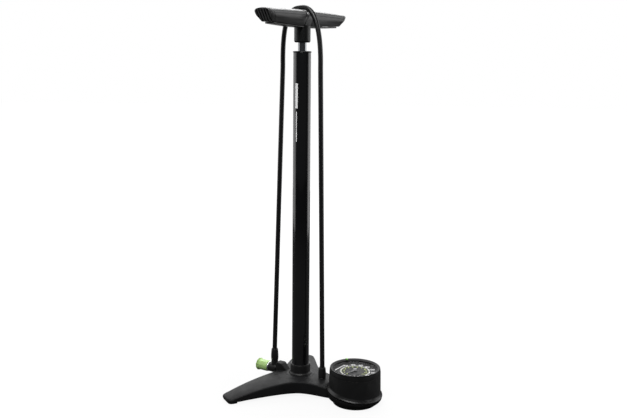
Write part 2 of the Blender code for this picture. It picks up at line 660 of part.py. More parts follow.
def build_gauge(axis):
    black = finish("black_moulding", (0.02, 0.02, 0.021), 0.45)
    brass = finish("brass", (0.62, 0.44, 0.18), 0.3, 1.0)
    bronze = finish("bronze", (0.50, 0.30, 0.14), 0.3, 1.0)
    dark = finish("dial_print", (0.045, 0.048, 0.052), 0.5)
    glass = finish("clear_lens", (0.85, 0.88, 0.90), 0.05)
    green = finish("green_marker", (0.16, 0.42, 0.05), 0.4)
    pale = finish("needle_grey", (0.55, 0.57, 0.58), 0.4)
    turned(
        "gauge_housing",
        [(6.4, 14.0), (50.6, 14.0), (51.8, 15.6), (51.8, 19.3), (49.7, 21.0), (47.8, 57.0),
         (42.6, 57.0), (42.6, 62.6), (41.3, 62.6), (41.3, DIAL_Z - GAP), (39.5, DIAL_Z - GAP),
         (39.5, 20.0), (6.4, 20.0)],
        black, axis, 36,
    )
    ring("gauge_dial", 1.8, 41.0, DIAL_Z, DIAL_Z + 1.0, dark, axis, 36)
    disc("gauge_lens", 42.5, 63.0, 64.4, glass, axis, 36)
    turned(
        "gauge_bezel",
        [(43.0, 57.3), (47.6, 57.3), (46.9, 65.4), (45.9, BEZEL_TOP_Z), (41.2, BEZEL_TOP_Z),
         (WINDOW_R, 65.6), (WINDOW_R, 64.7), (43.0, 64.7)],
        black, axis, 36,
    )
    mark = arc(45.4, 107.3, 113.3, 2) + [offset(40.2, 110.3)]
    slab("bezel_marker", mark, BEZEL_TOP_Z + 0.2, BEZEL_TOP_Z + 1.1, green, axis)

    stem = disc("gauge_socket", 5.9, 14.3, 28.0, brass, axis, 24)
    arm = [(-4.0, -5.0), (4.0, -5.0), (4.0, 31.0), (-4.0, 31.0)]
    tool = slab("tool_socket_arm", turn_points(arm, -25.0), 21.5, 27.5, None, axis)
    cut(stem, tool, "UNION")
    post = [(-3.4, 30.0), (3.4, 30.0), (3.4, 38.2), (-3.4, 38.2)]
    tool = slab("tool_socket_post", turn_points(post, -25.0), 22.5, 42.0, None, axis)
    cut(stem, tool, "UNION")
    cut(stem, drill_on(axis, "tool_socket_air", 1.6, 10.0, 24.0))

    sections = []
    for x, y in arc(35.6, 73.0, 333.0, 26):
        out = Vector((x, y, 0.0)).normalized()
        oval = [out * (35.6 + 1.5 * cx) + Vector((0.0, 0.0, 36.5 + 3.4 * cy))
                for cx, cy in arc(1.0, 0.0, 315.0, 7)]
        sections.append(oval)
    loft("bourdon_tube", sections, bronze, axis, 60.0)

    pivot = (GEAR_CENTRES, 0.0)
    plate = arc(8.8, -90.0, 90.0, 10, (pivot[0], 0.0)) + arc(9.6, 90.0, 270.0, 10, (-1.5, 0.0))
    for name, low in (("movement_plate_lower", 30.0), ("movement_plate_upper", 46.0)):
        made = slab(name, plate, low, low + 1.4, brass, axis)
        cut(made, drill_on(axis, "tool_" + name, 1.5, low - 3.0, low + 4.0))
    pillars = (("movement_pillar_a", (-7.2, 0.0)), ("movement_pillar_b", (26.8, 6.2)))
    for name, (x, y) in pillars:
        disc(name, 1.6, 31.7, 45.7, brass, axis, 16, (x, y, 0.0))

    spindle = disc("needle_spindle", 1.0, 31.7, DIAL_Z + 2.1, brass, axis, 16)
    teeth = tooth_ring(PINION_TEETH, 0, PINION_TEETH - 1, 3.92, 2.9, 0.0)
    cut(spindle, slab("tool_pinion", teeth, GEAR_Z - 0.5, GEAR_Z + 4.5, None, axis), "UNION")
    hand = arc(3.4, 200.0, 340.0, 8) + [(0.9, 8.0), (0.25, 33.0), (-0.25, 33.0), (-0.9, 8.0)]
    slab("gauge_needle", turn_points(hand, 135.0), DIAL_Z + 2.4, DIAL_Z + 3.2, pale, axis)

    sector_axis = empty("sector_axis", (pivot[0] * MM, 0.0, 0.0), (0, 0, 0), axis)
    pitch = 360.0 / SECTOR_TEETH
    fan = tooth_ring(SECTOR_TEETH, -14, 1, 21.38, 20.35, 180.0 + pitch / 2.0)
    spread = arc(3.6, 180.0 + 1.5 * pitch + 26.0, 300.0 - 24.0, 3)
    tail = arc(2.3, 300.0 - 80.0, 300.0 + 80.0, 8, offset(6.5, 300.0))
    back = arc(3.6, 300.0 + 24.0, 360.0 + 180.0 - 13.5 * pitch - 26.0, 5)
    sector = slab("sector_gear", fan + spread + tail + back, GEAR_Z, GEAR_Z + 4.0, brass,
                  sector_axis)
    cut(sector, drill_on(sector_axis, "tool_sector_hole", 1.6, 30.0, 50.0))
    pin_x, pin_y = offset(6.5, 300.0)
    hole = drill("tool_tail_hole", 1.0, (pin_x, pin_y, 30.0), (pin_x, pin_y, 50.0), 16)
    hole.parent = sector_axis
    cut(sector, hole)
    disc("sector_shaft", 1.2, 31.7, 45.7, brass, sector_axis, 16)

    link_axis = empty("link_axis", (pin_x * MM, pin_y * MM, 0.0), (0, 0, 0), sector_axis)
    tip = Vector((31.6 - pivot[0] - pin_x, -16.4 - pin_y))
    heading = math.degrees(math.atan2(tip.y, tip.x))
    bar = arc(1.9, heading + 90.0, heading + 270.0, 6)
    bar += arc(1.9, heading - 90.0, heading + 90.0, 6, (tip.x, tip.y))
    link = slab("gauge_link", bar, GEAR_Z + 4.4, GEAR_Z + 5.4, brass, link_axis)
    cut(link, drill_on(link_axis, "tool_link_pin", 0.6, GEAR_Z + 0.5, GEAR_Z + 5.0), "UNION")


def offset(radius, degrees):
    a = math.radians(degrees)
    return radius * math.cos(a), radius * math.sin(a)


def turn_points(points, degrees):
    a = math.radians(degrees)
    c, s = math.cos(a), math.sin(a)
    return [(x * c - y * s, x * s + y * c) for x, y in points]


# ---------------------------------------------------------------- chuck and hose

def build_chuck(axis):
    black = finish("black_moulding", (0.02, 0.02, 0.021), 0.45)
    silver = finish("silver_ring", (0.62, 0.63, 0.64), 0.3, 0.9)
    green = finish("green_knob", (0.50, 0.72, 0.26), 0.45)
    rubber = finish("rubber", (0.018, 0.018, 0.018), 0.85)
    body = turned(
        "chuck_body",
        [(5.3, -7.1), (8.6, -7.1), (9.4, -6.0), (9.4, 9.6), (8.8, 10.8), (3.2, 10.8), (3.2, 0.5),
         (5.3, 0.5)],
        black, axis, 28,
    )
    neck = drill("tool_chuck_neck", 6.6, (-6.4, 0, 0), (CHUCK_Z - FERRULE_Z + GAP, 0, 0), 32)
    neck.parent = axis
    cut(body, neck, "UNION")
    ring("chuck_collar", 3.2, 9.8, 11.1, 13.6, silver, axis, 28)
    turned(
        "chuck_knob",
        [(0.0, 39.2), (10.0, 39.2), (11.9, 38.0), (11.9, 35.6), (10.5, 34.4), (10.5, 15.4),
         (9.8, 13.9), (2.8, 13.9), (2.8, 3.0), (0.0, 3.0)],
        green, axis, 28,
    )
    ring("chuck_gland", 3.1, 5.0, -6.4, -1.6, rubber, axis, 20)
    ring("chuck_pusher", 1.4, 4.9, -1.3, 0.2, black, axis, 20)
    top = FERRULE_Z
    spot = polar(CHUCK_R, CHUCK_ANGLE) / MM
    turned(
        "hose_ferrule_chuck",
        [(0.0, top + 6.0), (HOSE_R + GAP, top + 6.0), (HOSE_R + GAP, top + 23.5),
         (5.6, top + 23.5), (6.0, top + 22.0), (7.0, top + 9.5), (7.3, top + 8.0), (7.3, top),
         (0.0, top)],
        black, None, 24, spot,
    )


def hose_path():
    """Up from the gauge leg, over the handle's notch and down to the chuck."""
    ends = {
        "gauge": polar(OUTLET_R, LEG_ANGLES["gauge"], 38.2) / MM,
        "chuck": polar(CHUCK_R, CHUCK_ANGLE, FERRULE_Z + 6.7) / MM,
    }
    across = math.radians(HANDLE_TURN - 90.0)
    side = Vector((math.cos(across), math.sin(across), 0.0))
    rise = HOSE_TOP_Z - HOSE_R - HOSE_SHOULDER_Z
    strands = {}
    for end, sign in (("gauge", 1.0), ("chuck", -1.0)):
        foot = ends[end]
        shoulder = side * sign * HOSE_SPREAD[end]
        strand = [foot]
        foot = foot + Vector((0.0, 0.0, 18.0))
        for i in range(8):
            t = i / 8.0
            flat = foot.lerp(shoulder, t)
            strand.append(Vector((flat.x, flat.y, foot.z + (HOSE_SHOULDER_Z - foot.z) * t)))
        for i in range(10):
            a = math.pi / 2.0 * (i / 10.0) ** 1.25
            power = 2.0 / HOSE_ROUND[end]
            up = Vector((0.0, 0.0, HOSE_SHOULDER_Z + rise * math.sin(a) ** power))
            strand.append(shoulder * math.cos(a) ** power + up)
        strands[end] = strand
    crest = Vector((0.0, 0.0, HOSE_SHOULDER_Z + rise))
    return strands["gauge"] + [crest] + strands["chuck"][::-1]


def main():
    clear_scene()
    build_base()
    build_barrel()
    build_piston()
    handle_axis = empty("handle_axis", (0.0, 0.0, 0.0), (0.0, 0.0, HANDLE_TURN))
    build_handle(handle_axis)
    gauge_axis = empty("gauge_axis", polar(GAUGE_R, LEG_ANGLES["gauge"]), (0.0, 0.0, 0.0))
    build_gauge(gauge_axis)
    chuck_axis = empty("chuck_axis", polar(CHUCK_R, CHUCK_ANGLE, CHUCK_Z), (0.0, 90.0, CHUCK_ANGLE))
    build_chuck(chuck_axis)
    swept("hose", hose_path(), HOSE_R, 9, finish("rubber", (0.018, 0.018, 0.018), 0.85))


main()
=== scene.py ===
"""The floor pump's looks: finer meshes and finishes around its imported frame, a studio and a camera.

Lengths are in millimetres and are scaled to metres as a mesh is made. Places come from the boxes of
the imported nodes; the shapes between them follow the same rules as the CAD source.
"""
import math

import bmesh
import bpy
from mathutils import Matrix, Quaternion, Vector


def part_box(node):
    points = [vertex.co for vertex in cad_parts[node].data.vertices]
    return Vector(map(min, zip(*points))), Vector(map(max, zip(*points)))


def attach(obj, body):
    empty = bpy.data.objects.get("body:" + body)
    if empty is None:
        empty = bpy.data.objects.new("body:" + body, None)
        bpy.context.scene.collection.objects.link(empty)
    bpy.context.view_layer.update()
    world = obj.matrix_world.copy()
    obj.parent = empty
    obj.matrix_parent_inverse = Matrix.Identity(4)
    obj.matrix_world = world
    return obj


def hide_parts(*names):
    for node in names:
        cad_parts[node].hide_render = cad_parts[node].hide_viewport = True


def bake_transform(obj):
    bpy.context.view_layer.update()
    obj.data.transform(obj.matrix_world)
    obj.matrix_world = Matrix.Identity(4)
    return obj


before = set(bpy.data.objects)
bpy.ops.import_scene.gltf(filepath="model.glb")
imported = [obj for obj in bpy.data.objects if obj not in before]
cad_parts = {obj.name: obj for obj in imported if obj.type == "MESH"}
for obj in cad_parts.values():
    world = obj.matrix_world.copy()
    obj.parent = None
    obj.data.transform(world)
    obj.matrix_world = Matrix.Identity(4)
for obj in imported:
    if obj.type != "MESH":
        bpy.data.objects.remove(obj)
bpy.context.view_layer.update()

MM = 0.001
Z_AXIS = Vector((0.0, 0.0, 1.0))


def box(node):
    """Lowest and highest corner of a CAD node, in millimetres."""
    low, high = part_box(node)
    return low / MM, high / MM


def middle(node):
    low, high = box(node)
    return (low + high) / 2


# driving sizes read from the frame
BARREL_LOW, BARREL_HIGH = box("barrel")
BARREL_R = BARREL_HIGH.x + 0.35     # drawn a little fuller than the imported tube
GAUGE = middle("gauge_housing")
OUTLET = middle("hose_ferrule_base")
CHUCK = middle("hose_ferrule_chuck")
CHUCK_Z = middle("chuck_knob").z
DIAL_Z = box("gauge_dial")[1].z
LENS_Z = box("gauge_lens")[0].z
NEEDLE_LOW, NEEDLE_HIGH = box("gauge_needle")[0].z, box("gauge_needle")[1].z
HANDLE_TURN = 56.2

# base
LEGS = {"rear": 90.0, "left": 210.0, "gauge": 330.0}
WEB_R = 46.0
ROUND_FROM = 142.0
REACH = 157.0
HUB_FACE_Z = 31.0
END_HALF = 19.6
TAPER = 0.12
EDGE_TOP_Z = 28.4
TOP_FALL = 0.085        # slope of a leg's upper edge where it leaves the hub
TOP_CURVE = 0.00105     # how fast that slope steepens
HUB_RINGS = (40.5, 36.5, 32.5, 29.5, 28.3, 27.2, 26.4, 24.0, 20.0)
HUB_STEP = 0.8
ARCH_Z = 5.8
TOE_Z = 2.9
GAUGE_R = math.hypot(GAUGE.x, GAUGE.y)
CUP_R = 51.2
CUP_FLOOR_R = 42.0
SEAT_Z = 19.2           # seam between the casting and the gauge, on the gauge's axis
SEAT_SLOPE = 0.135      # the seam falls outwards
SEAT_R = 52.3
CREASE = 2.0            # rounding of the casting's upper edge
CHUCK_TURN = 150.0

# handle
HANDLE_HALF = 113.0
SHOULDER_Z = 708.0
CROWN_Z = 716.2
LIP_Z = 685.0
LIP_HALF = 93.0
CAP_FROM = 104.0
NOTCH_HALF = 8.5
END_SLANT = 0.60
GRIP_NOSE = ((0.0, 0.90), (0.3, 0.94), (0.9, 0.965), (2.0, 0.985), (4.0, 0.995), (7.5, 1.0))
CAP_END = ((5.0, 1.0), (3.2, 0.985), (1.8, 0.955), (0.9, 0.92), (0.3, 0.88))

# hose
HOSE_R = 4.5
HOSE_CREST_Z = box("hose")[1].z - HOSE_R
SHOULDER_LOW_Z = 612.0
HOSE_SPREAD = {"gauge": 41.5, "chuck": 45.1}
HOSE_ROUND = {"gauge": 2.4, "chuck": 3.0}
HOSE_JOINT_Z = 255.0

# gauge
RIM_Z = 57.0            # seam between the housing and the bezel
LENS_MIRROR = 0.16      # share of the lens's reflection that is kept
PRINT_LOW, PRINT_HIGH = DIAL_Z - 0.02, DIAL_Z + 0.06
SCALE_FROM, SCALE_TO = 225.0, -45.0


# ---- mesh helpers

def swing(x, y, degrees, z=0.0):
    """A point in a frame turned about the barrel's axis, in millimetres."""
    a = math.radians(degrees)
    return Vector((x * math.cos(a) - y * math.sin(a), x * math.sin(a) + y * math.cos(a), z))


def about_z(degrees):
    return Matrix.Rotation(math.radians(degrees), 4, "Z")


def floor_under(point):
    """A frame on the floor under a point."""
    return Matrix.Translation((point.x, point.y, 0.0))


def add_object(name, data):
    ob = bpy.data.objects.new(name, data)
    bpy.context.scene.collection.objects.link(ob)
    return ob


def smooth(t):
    t = min(max(t, 0.0), 1.0)
    return t * t * (3.0 - 2.0 * t)


def make(name, bm, material, sharp=35.0, matrix=None):
    """A bmesh in millimetres becomes a named object in metres."""
    bmesh.ops.remove_doubles(bm, verts=bm.verts, dist=0.002)
    bmesh.ops.recalc_face_normals(bm, faces=bm.faces)
    mesh = bpy.data.meshes.new(name)
    bm.to_mesh(mesh)
    bm.free()
    mesh.transform(Matrix.Scale(MM, 4) @ (matrix or Matrix.Identity(4)))
    mesh.shade_smooth()
    mesh.set_sharp_from_angle(angle=math.radians(sharp))
    if material is not None:
        mesh.materials.append(material)
    return add_object(name, mesh)


def fit(ob, body, *nodes):
    """The piece moves with a body and stands for some of its CAD nodes."""
    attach(ob, body)
    if nodes:
        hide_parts(*nodes)


def blend_up(ob):
    """Bake a piece's placement into its mesh."""
    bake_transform(ob)


def combine(ob, tool, operation="DIFFERENCE", sharp=35.0):
    """Cut a tool out of a piece or join it on, for good."""
    step = ob.modifiers.new("combine", "BOOLEAN")
    step.operation = operation
    step.object = tool
    step.solver = "EXACT"
    if tool.data.materials:
        step.material_mode = "TRANSFER"
    bpy.context.view_layer.update()
    shaped = ob.evaluated_get(bpy.context.evaluated_depsgraph_get())
    mesh = bpy.data.meshes.new_from_object(shaped)
    ob.modifiers.clear()
    ob.data = mesh
    mesh.name = ob.name
    mesh.shade_smooth()
    mesh.set_sharp_from_angle(angle=math.radians(sharp))
    bpy.data.objects.remove(tool)


def rounded(points, closed):
    """Each (a, b, radius) corner becomes a short curve; an (a, b) corner stays sharp."""
    made = []
    count = len(points)
    for i, point in enumerate(points):
        here = Vector(point[:2])
        radius = point[2] if len(point) > 2 else 0.0
        if radius == 0.0 or (not closed and i in (0, count - 1)):
            made.append(here)
            continue
        back = Vector(points[i - 1][:2]) - here
        ahead = Vector(points[(i + 1) % count][:2]) - here
        reach = radius / math.tan(back.angle(ahead) / 2)
        reach = min(reach, 0.48 * back.length, 0.48 * ahead.length)
        start = here + back.normalized() * reach
        end = here + ahead.normalized() * reach
        steps = 6 if radius > 0.8 else 3
        for k in range(steps + 1):
            t = k / steps
            made.append(start.lerp(here, t).lerp(here.lerp(end, t), t))
    return made


def lathe(name, profile, material, segments=96, matrix=None, sharp=35.0, warp=None):
    """A solid of revolution about Z. A profile off the axis at either end is closed to a ring."""
    solid = profile[0][0] == 0.0 and profile[-1][0] == 0.0
    bm = bmesh.new()
    rings = []
    for r, z in rounded(profile, not solid):
        if r < 1e-6:
            rings.append([bm.verts.new((0.0, 0.0, z))] * segments)
            continue
        ring = []
        for i in range(segments):
            a = 2.0 * math.pi * i / segments
            place = Vector((r * math.cos(a), r * math.sin(a), z))
            ring.append(bm.verts.new(warp(place) if warp else place))
        rings.append(ring)
    if not solid:
        rings.append(rings[0])
    for near, far in zip(rings, rings[1:]):
        for i in range(segments):
            j = (i + 1) % segments
            corners = list(dict.fromkeys((near[i], near[j], far[j], far[i])))
            if len(corners) > 2:
                bm.faces.new(corners)
    return make(name, bm, material, sharp, matrix)


def drill(ob, name, radius, low, high, segments=96, matrix=None, warp=None):
    """Cut a round hole or seat along Z."""
    profile = [(0.0, low), (radius, low), (radius, high), (0.0, high)]
    combine(ob, lathe(name, profile, None, segments, matrix, warp=warp))


def skin(bm, rows, closed=True, capped=False):
    """Quads between rows of vertices, with a face over the first and last row if capped."""
    for near, far in zip(rows, rows[1:]):
        count = len(near)
        for i in range(count if closed else count - 1):
            j = (i + 1) % count
            bm.faces.new((near[i], near[j], far[j], far[i]))
    if capped:
        bm.faces.new(rows[0])
        bm.faces.new(rows[-1])


def loft(name, sections, material, sharp=35.0, matrix=None):
    """A skin over closed sections, capped at both ends."""
    bm = bmesh.new()
    skin(bm, [[bm.verts.new(p) for p in section] for section in sections], capped=True)
    return make(name, bm, material, sharp, matrix)


def slab(name, outline, low, high, material, bevel=0.0, matrix=None):
    """An outline extruded along Z, with its upper and lower edges eased."""
    bm = bmesh.new()
    face = bm.faces.new([bm.verts.new((x, y, low)) for x, y in outline])
    grown = bmesh.ops.extrude_face_region(bm, geom=[face])["geom"]
    top = [g for g in grown if isinstance(g, bmesh.types.BMVert)]
    bmesh.ops.translate(bm, verts=top, vec=(0.0, 0.0, high - low))
    if bevel:
        bmesh.ops.recalc_face_normals(bm, faces=bm.faces)
        flat = [e for e in bm.edges if abs(e.verts[0].co.z - e.verts[1].co.z) < 1e-6]
        bmesh.ops.bevel(bm, geom=flat, offset=bevel, segments=3, profile=0.5, affect="EDGES",
                        clamp_overlap=True)
    return make(name, bm, material, matrix=matrix)


def arc(radius, start, end, count, centre=(0.0, 0.0)):
    angles = [math.radians(start + (end - start) * i / count) for i in range(count + 1)]
    return [(centre[0] + radius * math.cos(a), centre[1] + radius * math.sin(a)) for a in angles]


def spline(points, per_span):
    """A smooth open curve through points."""
    points = [Vector(p) for p in points]
    made = []
    for i in range(len(points) - 1):
        a = points[max(i - 1, 0)]
        b, c = points[i], points[i + 1]
        d = points[min(i + 2, len(points) - 1)]
        for k in range(per_span):
            t = k / per_span
            made.append(0.5 * (2 * b + (c - a) * t + (2 * a - 5 * b + 4 * c - d) * t ** 2
                               + (3 * b - a - 3 * c + d) * t ** 3))
    return made + [points[-1]]


def tube(name, path, radius, sides, material):
    """A round bar along a path; each section is square to the path and never twists."""
    sections = []
    across = None
    for i, p in enumerate(path):
        ahead = (path[min(i + 1, len(path) - 1)] - path[max(i - 1, 0)]).normalized()
        if across is None:
            across = ahead.orthogonal()
        across = (across - ahead * across.dot(ahead)).normalized()
        third = ahead.cross(across)
        angles = [2.0 * math.pi * k / sides for k in range(sides)]
        sections.append([p + radius * (across * math.cos(a) + third * math.sin(a)) for a in angles])
    return loft(name, sections, material, 60.0)


# ---- finishes

def ranged(tree, source, to, start=(0.0, 1.0)):
    """A value mapped from its own range to another."""
    made = tree.nodes.new("ShaderNodeMapRange")
    for socket, value in zip(("From Min", "From Max", "To Min", "To Max"), (*start, *to)):
        made.inputs[socket].default_value = value
    tree.links.new(source, made.inputs["Value"])
    return made.outputs["Result"]


class Finish:
    """A node material on a Principled shader, with patterns measured in millimetres."""

    def __init__(self, name, colour, **inputs):
        self.material = bpy.data.materials.new(name)
        self.material.use_nodes = True
        self.tree = self.material.node_tree
        self.shader = self.tree.nodes["Principled BSDF"]
        self.colour = colour
        self.shader.inputs["Base Color"].default_value = (*colour, 1.0)
        for key, value in inputs.items():
            self.shader.inputs[key.replace("_", " ")].default_value = value
        self.place = self.node("TexCoord").outputs["Object"]

    def node(self, kind):
        return self.tree.nodes.new("ShaderNode" + kind)

    def link(self, source, socket):
        self.tree.links.new(source, socket)

    def noise(self, size, detail=3.0, stretch=(1.0, 1.0, 1.0)):
        """Cloudy noise with lumps about size millimetres across."""
        scale = self.node("Mapping")
        scale.inputs["Scale"].default_value = stretch
        self.link(self.place, scale.inputs["Vector"])
        made = self.node("TexNoise")
        made.inputs["Scale"].default_value = 1.0 / (size * MM)
        made.inputs["Detail"].default_value = detail
        self.link(scale.outputs["Vector"], made.inputs["Vector"])
        return made.outputs["Fac"]

    def spread(self, source, low, high):
        """Map a 0.3 to 0.7 pattern to low..high."""
        return ranged(self.tree, source, (low, high), (0.3, 0.7))

    def mottle(self, size, amount):
        """Light and dark variation of the colour."""
        made = self.node("Mix")
        made.data_type = "RGBA"
        made.inputs["A"].default_value = (*[c * (1.0 - amount) for c in self.colour], 1.0)
        made.inputs["B"].default_value = (*[min(c * (1.0 + amount), 1.0) for c in self.colour], 1.0)
        self.link(self.spread(self.noise(size), 0.0, 1.0), made.inputs["Factor"])
        self.link(made.outputs["Result"], self.shader.inputs["Base Color"])

    def gloss(self, size, low, high, stretch=(1.0, 1.0, 1.0)):
        """Roughness that varies in patches, as handled surfaces do."""
        patches = self.noise(size, 4.0, stretch)
        self.link(self.spread(patches, low, high), self.shader.inputs["Roughness"])

    def grain(self, size, depth, detail=2.0, stretch=(1.0, 1.0, 1.0)):
        """A fine raised texture; depth is in millimetres."""
        made = self.node("Bump")
        made.inputs["Distance"].default_value = depth * MM
        made.inputs["Strength"].default_value = 1.0
        self.link(self.noise(size, detail, stretch), made.inputs["Height"])
        self.link(made.outputs["Normal"], self.shader.inputs["Normal"])

    def worn_edges(self, lift):
        """Edges are painted a little lighter than the mottled colour: a painted highlight along them."""
        bevel = self.node("Bevel")
        bevel.inputs["Radius"].default_value = 0.5 * MM
        turned = self.node("VectorMath")
        turned.operation = "DOT_PRODUCT"
        self.link(bevel.outputs["Normal"], turned.inputs[0])
        self.link(self.node("NewGeometry").outputs["Normal"], turned.inputs[1])
        mix = self.node("Mix")
        mix.data_type = "RGBA"
        mix.inputs["B"].default_value = (*[min(c + lift, 1.0) for c in self.colour], 1.0)
        base = self.shader.inputs["Base Color"]
        self.link(base.links[0].from_socket, mix.inputs["A"])
        edge = ranged(self.tree, turned.outputs["Value"], (0.0, 1.0), (0.995, 0.80))
        self.link(edge, mix.inputs["Factor"])
        self.link(mix.outputs["Result"], base)


def surface(name, colour, gloss, grain, mottle=None, edge_highlight=None, **inputs):
    """A finished material: roughness in patches and a grain, and where given a mottled colour and
    edges painted lighter as a painted highlight."""
    made = Finish(name, colour, **inputs)
    if mottle:
        made.mottle(*mottle)
    made.gloss(*gloss)
    made.grain(*grain)
    if edge_highlight:
        made.worn_edges(edge_highlight)
    return made.material


def finishes():
    return {
        # the fifth value of enamel, moulding, housing and grip lightens their edges: a painted highlight
        "enamel": surface("enamel_charcoal", (0.0115, 0.0115, 0.012), (18.0, 0.46, 0.58), (1.1, 0.035),
            (35.0, 0.10), 0.008, Specular_IOR_Level=0.16),
        "gloss": surface("gloss_black", (0.0045, 0.0045, 0.005), (40.0, 0.12, 0.22, (1.0, 1.0, 0.2)),
            (2.5, 0.006), (60.0, 0.15), Coat_Weight=0.6, Coat_Roughness=0.05),
        "moulding": surface("black_moulding", (0.0075, 0.0075, 0.0077), (9.0, 0.36, 0.48), (0.45, 0.012),
            (20.0, 0.15), 0.006),
        "housing": surface("gauge_black", (0.006, 0.006, 0.0062), (12.0, 0.33, 0.43), (0.5, 0.010),
            (25.0, 0.12), 0.006),
        "surround": surface("dial_surround", (0.042, 0.042, 0.043), (7.0, 0.44, 0.56), (0.4, 0.008),
            (9.0, 0.1), Specular_IOR_Level=0.10),
        # the bezel's top is painted slightly darker and less shiny than its wall: painted shade
        "rim": surface("bezel_top_shaded", (0.005, 0.005, 0.0052), (12.0, 0.44, 0.56), (0.5, 0.010),
            (25.0, 0.12), Specular_IOR_Level=0.12),
        "grip": surface("satin_grip", (0.074, 0.074, 0.075), (11.0, 0.29, 0.40), (0.4, 0.010), (16.0, 0.07),
            0.03),
        "rubber": surface("rubber", (0.010, 0.010, 0.010), (6.0, 0.62, 0.8), (0.3, 0.02), (8.0, 0.2)),
        "hose": surface("hose_rubber", (0.0055, 0.0055, 0.0057), (25.0, 0.34, 0.46, (1.0, 1.0, 0.15)),
            (0.6, 0.012, 2.0, (1.0, 1.0, 0.06)), (30.0, 0.2)),
        "dark_steel": surface("dark_steel", (0.05, 0.05, 0.052), (4.0, 0.32, 0.48), (0.3, 0.01), (3.0, 0.1),
            Metallic=0.9),
        "chrome": surface("chrome_rod", (0.30, 0.31, 0.32), (30.0, 0.14, 0.22),
            (0.25, 0.0012, 1.0, (0.15, 0.15, 8.0)), Metallic=1.0),
        "zinc": surface("zinc", (0.50, 0.51, 0.53), (4.0, 0.28, 0.42), (0.3, 0.01), (3.0, 0.06),
            Metallic=1.0),
        "silver": surface("silver_ring", (0.68, 0.69, 0.70), (3.0, 0.18, 0.32), (0.2, 0.004), Metallic=1.0),
        "brass": surface("brass", (0.60, 0.42, 0.17), (4.0, 0.22, 0.38), (0.25, 0.005), (5.0, 0.08),
            Metallic=1.0),
        "bronze": surface("bronze", (0.48, 0.28, 0.13), (4.0, 0.25, 0.4), (0.25, 0.005), (5.0, 0.1),
            Metallic=1.0),
        "white": surface("white_moulding", (0.72, 0.72, 0.70), (6.0, 0.44, 0.56), (0.4, 0.01), (9.0, 0.04)),
        "green": surface("green_knob", (0.46, 0.69, 0.25), (5.0, 0.32, 0.44), (0.35, 0.010), (7.0, 0.05),
            Subsurface_Weight=0.10, Subsurface_Radius=(0.002, 0.003, 0.001)),
        "green_edge": surface("green_edge", (0.27, 0.46, 0.10), (5.0, 0.36, 0.48), (0.35, 0.010),
            (6.0, 0.08)),
        "marker": surface("green_marker", (0.15, 0.42, 0.05), (2.0, 0.34, 0.46), (0.3, 0.006), (2.0, 0.06)),
        "dial": surface("dial_face", (0.034, 0.034, 0.035), (6.0, 0.44, 0.56), (0.2, 0.002), (9.0, 0.06),
            Specular_IOR_Level=0.15),
        # white and lime print glow faintly though they are no lamp: painted light that brightens them
        "glowing_print_white": surface("glowing_print_white", (0.90, 0.90, 0.90), (2.0, 0.44, 0.56), (0.2, 0.001),
            (2.0, 0.04), Emission_Strength=0.12),
        "glowing_print_lime": surface("glowing_print_lime", (0.66, 0.76, 0.22), (2.0, 0.44, 0.56), (0.2, 0.001),
            (2.0, 0.05), Emission_Color=(0.6, 0.8, 0.2, 1.0), Emission_Strength=0.06),
        # grey of the triangle printed past the needle hub: a painted highlight
        "hub_highlight_grey": surface("hub_highlight_grey", (0.42, 0.42, 0.42), (2.0, 0.44, 0.56), (0.2, 0.001),
            (2.0, 0.05)),
        "needle": surface("needle_grey", (0.10, 0.10, 0.105), (3.0, 0.28, 0.42), (0.2, 0.002), (3.0, 0.05),
            Metallic=0.3),
    }


def clear_lens():
    """A clear window that only mirrors at a slant, with faint smears."""
    material = bpy.data.materials.new("clear_lens")
    material.use_nodes = True
    tree = material.node_tree
    nodes, links = tree.nodes, tree.links
    nodes.remove(nodes["Principled BSDF"])
    clear = nodes.new("ShaderNodeBsdfTransparent")
    clear.inputs["Color"].default_value = (0.96, 0.96, 0.96, 1.0)
    mirror = nodes.new("ShaderNodeBsdfGlossy")
    place = nodes.new("ShaderNodeTexCoord")
    smear = nodes.new("ShaderNodeTexNoise")
    smear.inputs["Scale"].default_value = 1.0 / (12.0 * MM)
    links.new(place.outputs["Object"], smear.inputs["Vector"])
    links.new(ranged(tree, smear.outputs["Fac"], (0.02, 0.10)), mirror.inputs["Roughness"])
    slant = nodes.new("ShaderNodeFresnel")
    slant.inputs["IOR"].default_value = 1.35
    side = nodes.new("ShaderNodeNewGeometry")
    share = nodes.new("ShaderNodeMath")
    share.operation = "MULTIPLY"
    links.new(slant.outputs["Fac"], share.inputs[0])
    links.new(ranged(tree, side.outputs["Backfacing"], (LENS_MIRROR, 0.0)), share.inputs[1])
    mix = nodes.new("ShaderNodeMixShader")
    links.new(share.outputs["Value"], mix.inputs["Fac"])
    links.new(clear.outputs["BSDF"], mix.inputs[1])
    links.new(mirror.outputs["BSDF"], mix.inputs[2])
    links.new(mix.outputs["Shader"], nodes["Material Output"].inputs["Surface"])
    return material


# ---- base

def half_width(x, gauge):
    """Half the width of a leg, x out along it."""
    straight = END_HALF + TAPER * (ROUND_FROM - x)
    first = WEB_R / 2
    fillet = WEB_R * math.sqrt(0.75) - END_HALF - TAPER * (ROUND_FROM - first)
    reach = fillet / (math.tan(math.radians(30.0)) - TAPER)
    width = straight + fillet * math.exp((first - x) / reach)
    if gauge and x > GAUGE_R - CUP_R:
        width = max(width, math.sqrt(CUP_R ** 2 - (x - GAUGE_R) ** 2))
    return width


def seat_height(x):
    """The gauge's sloping seat, x out along its leg."""
    return SEAT_Z - SEAT_SLOPE * (x - GAUGE_R)


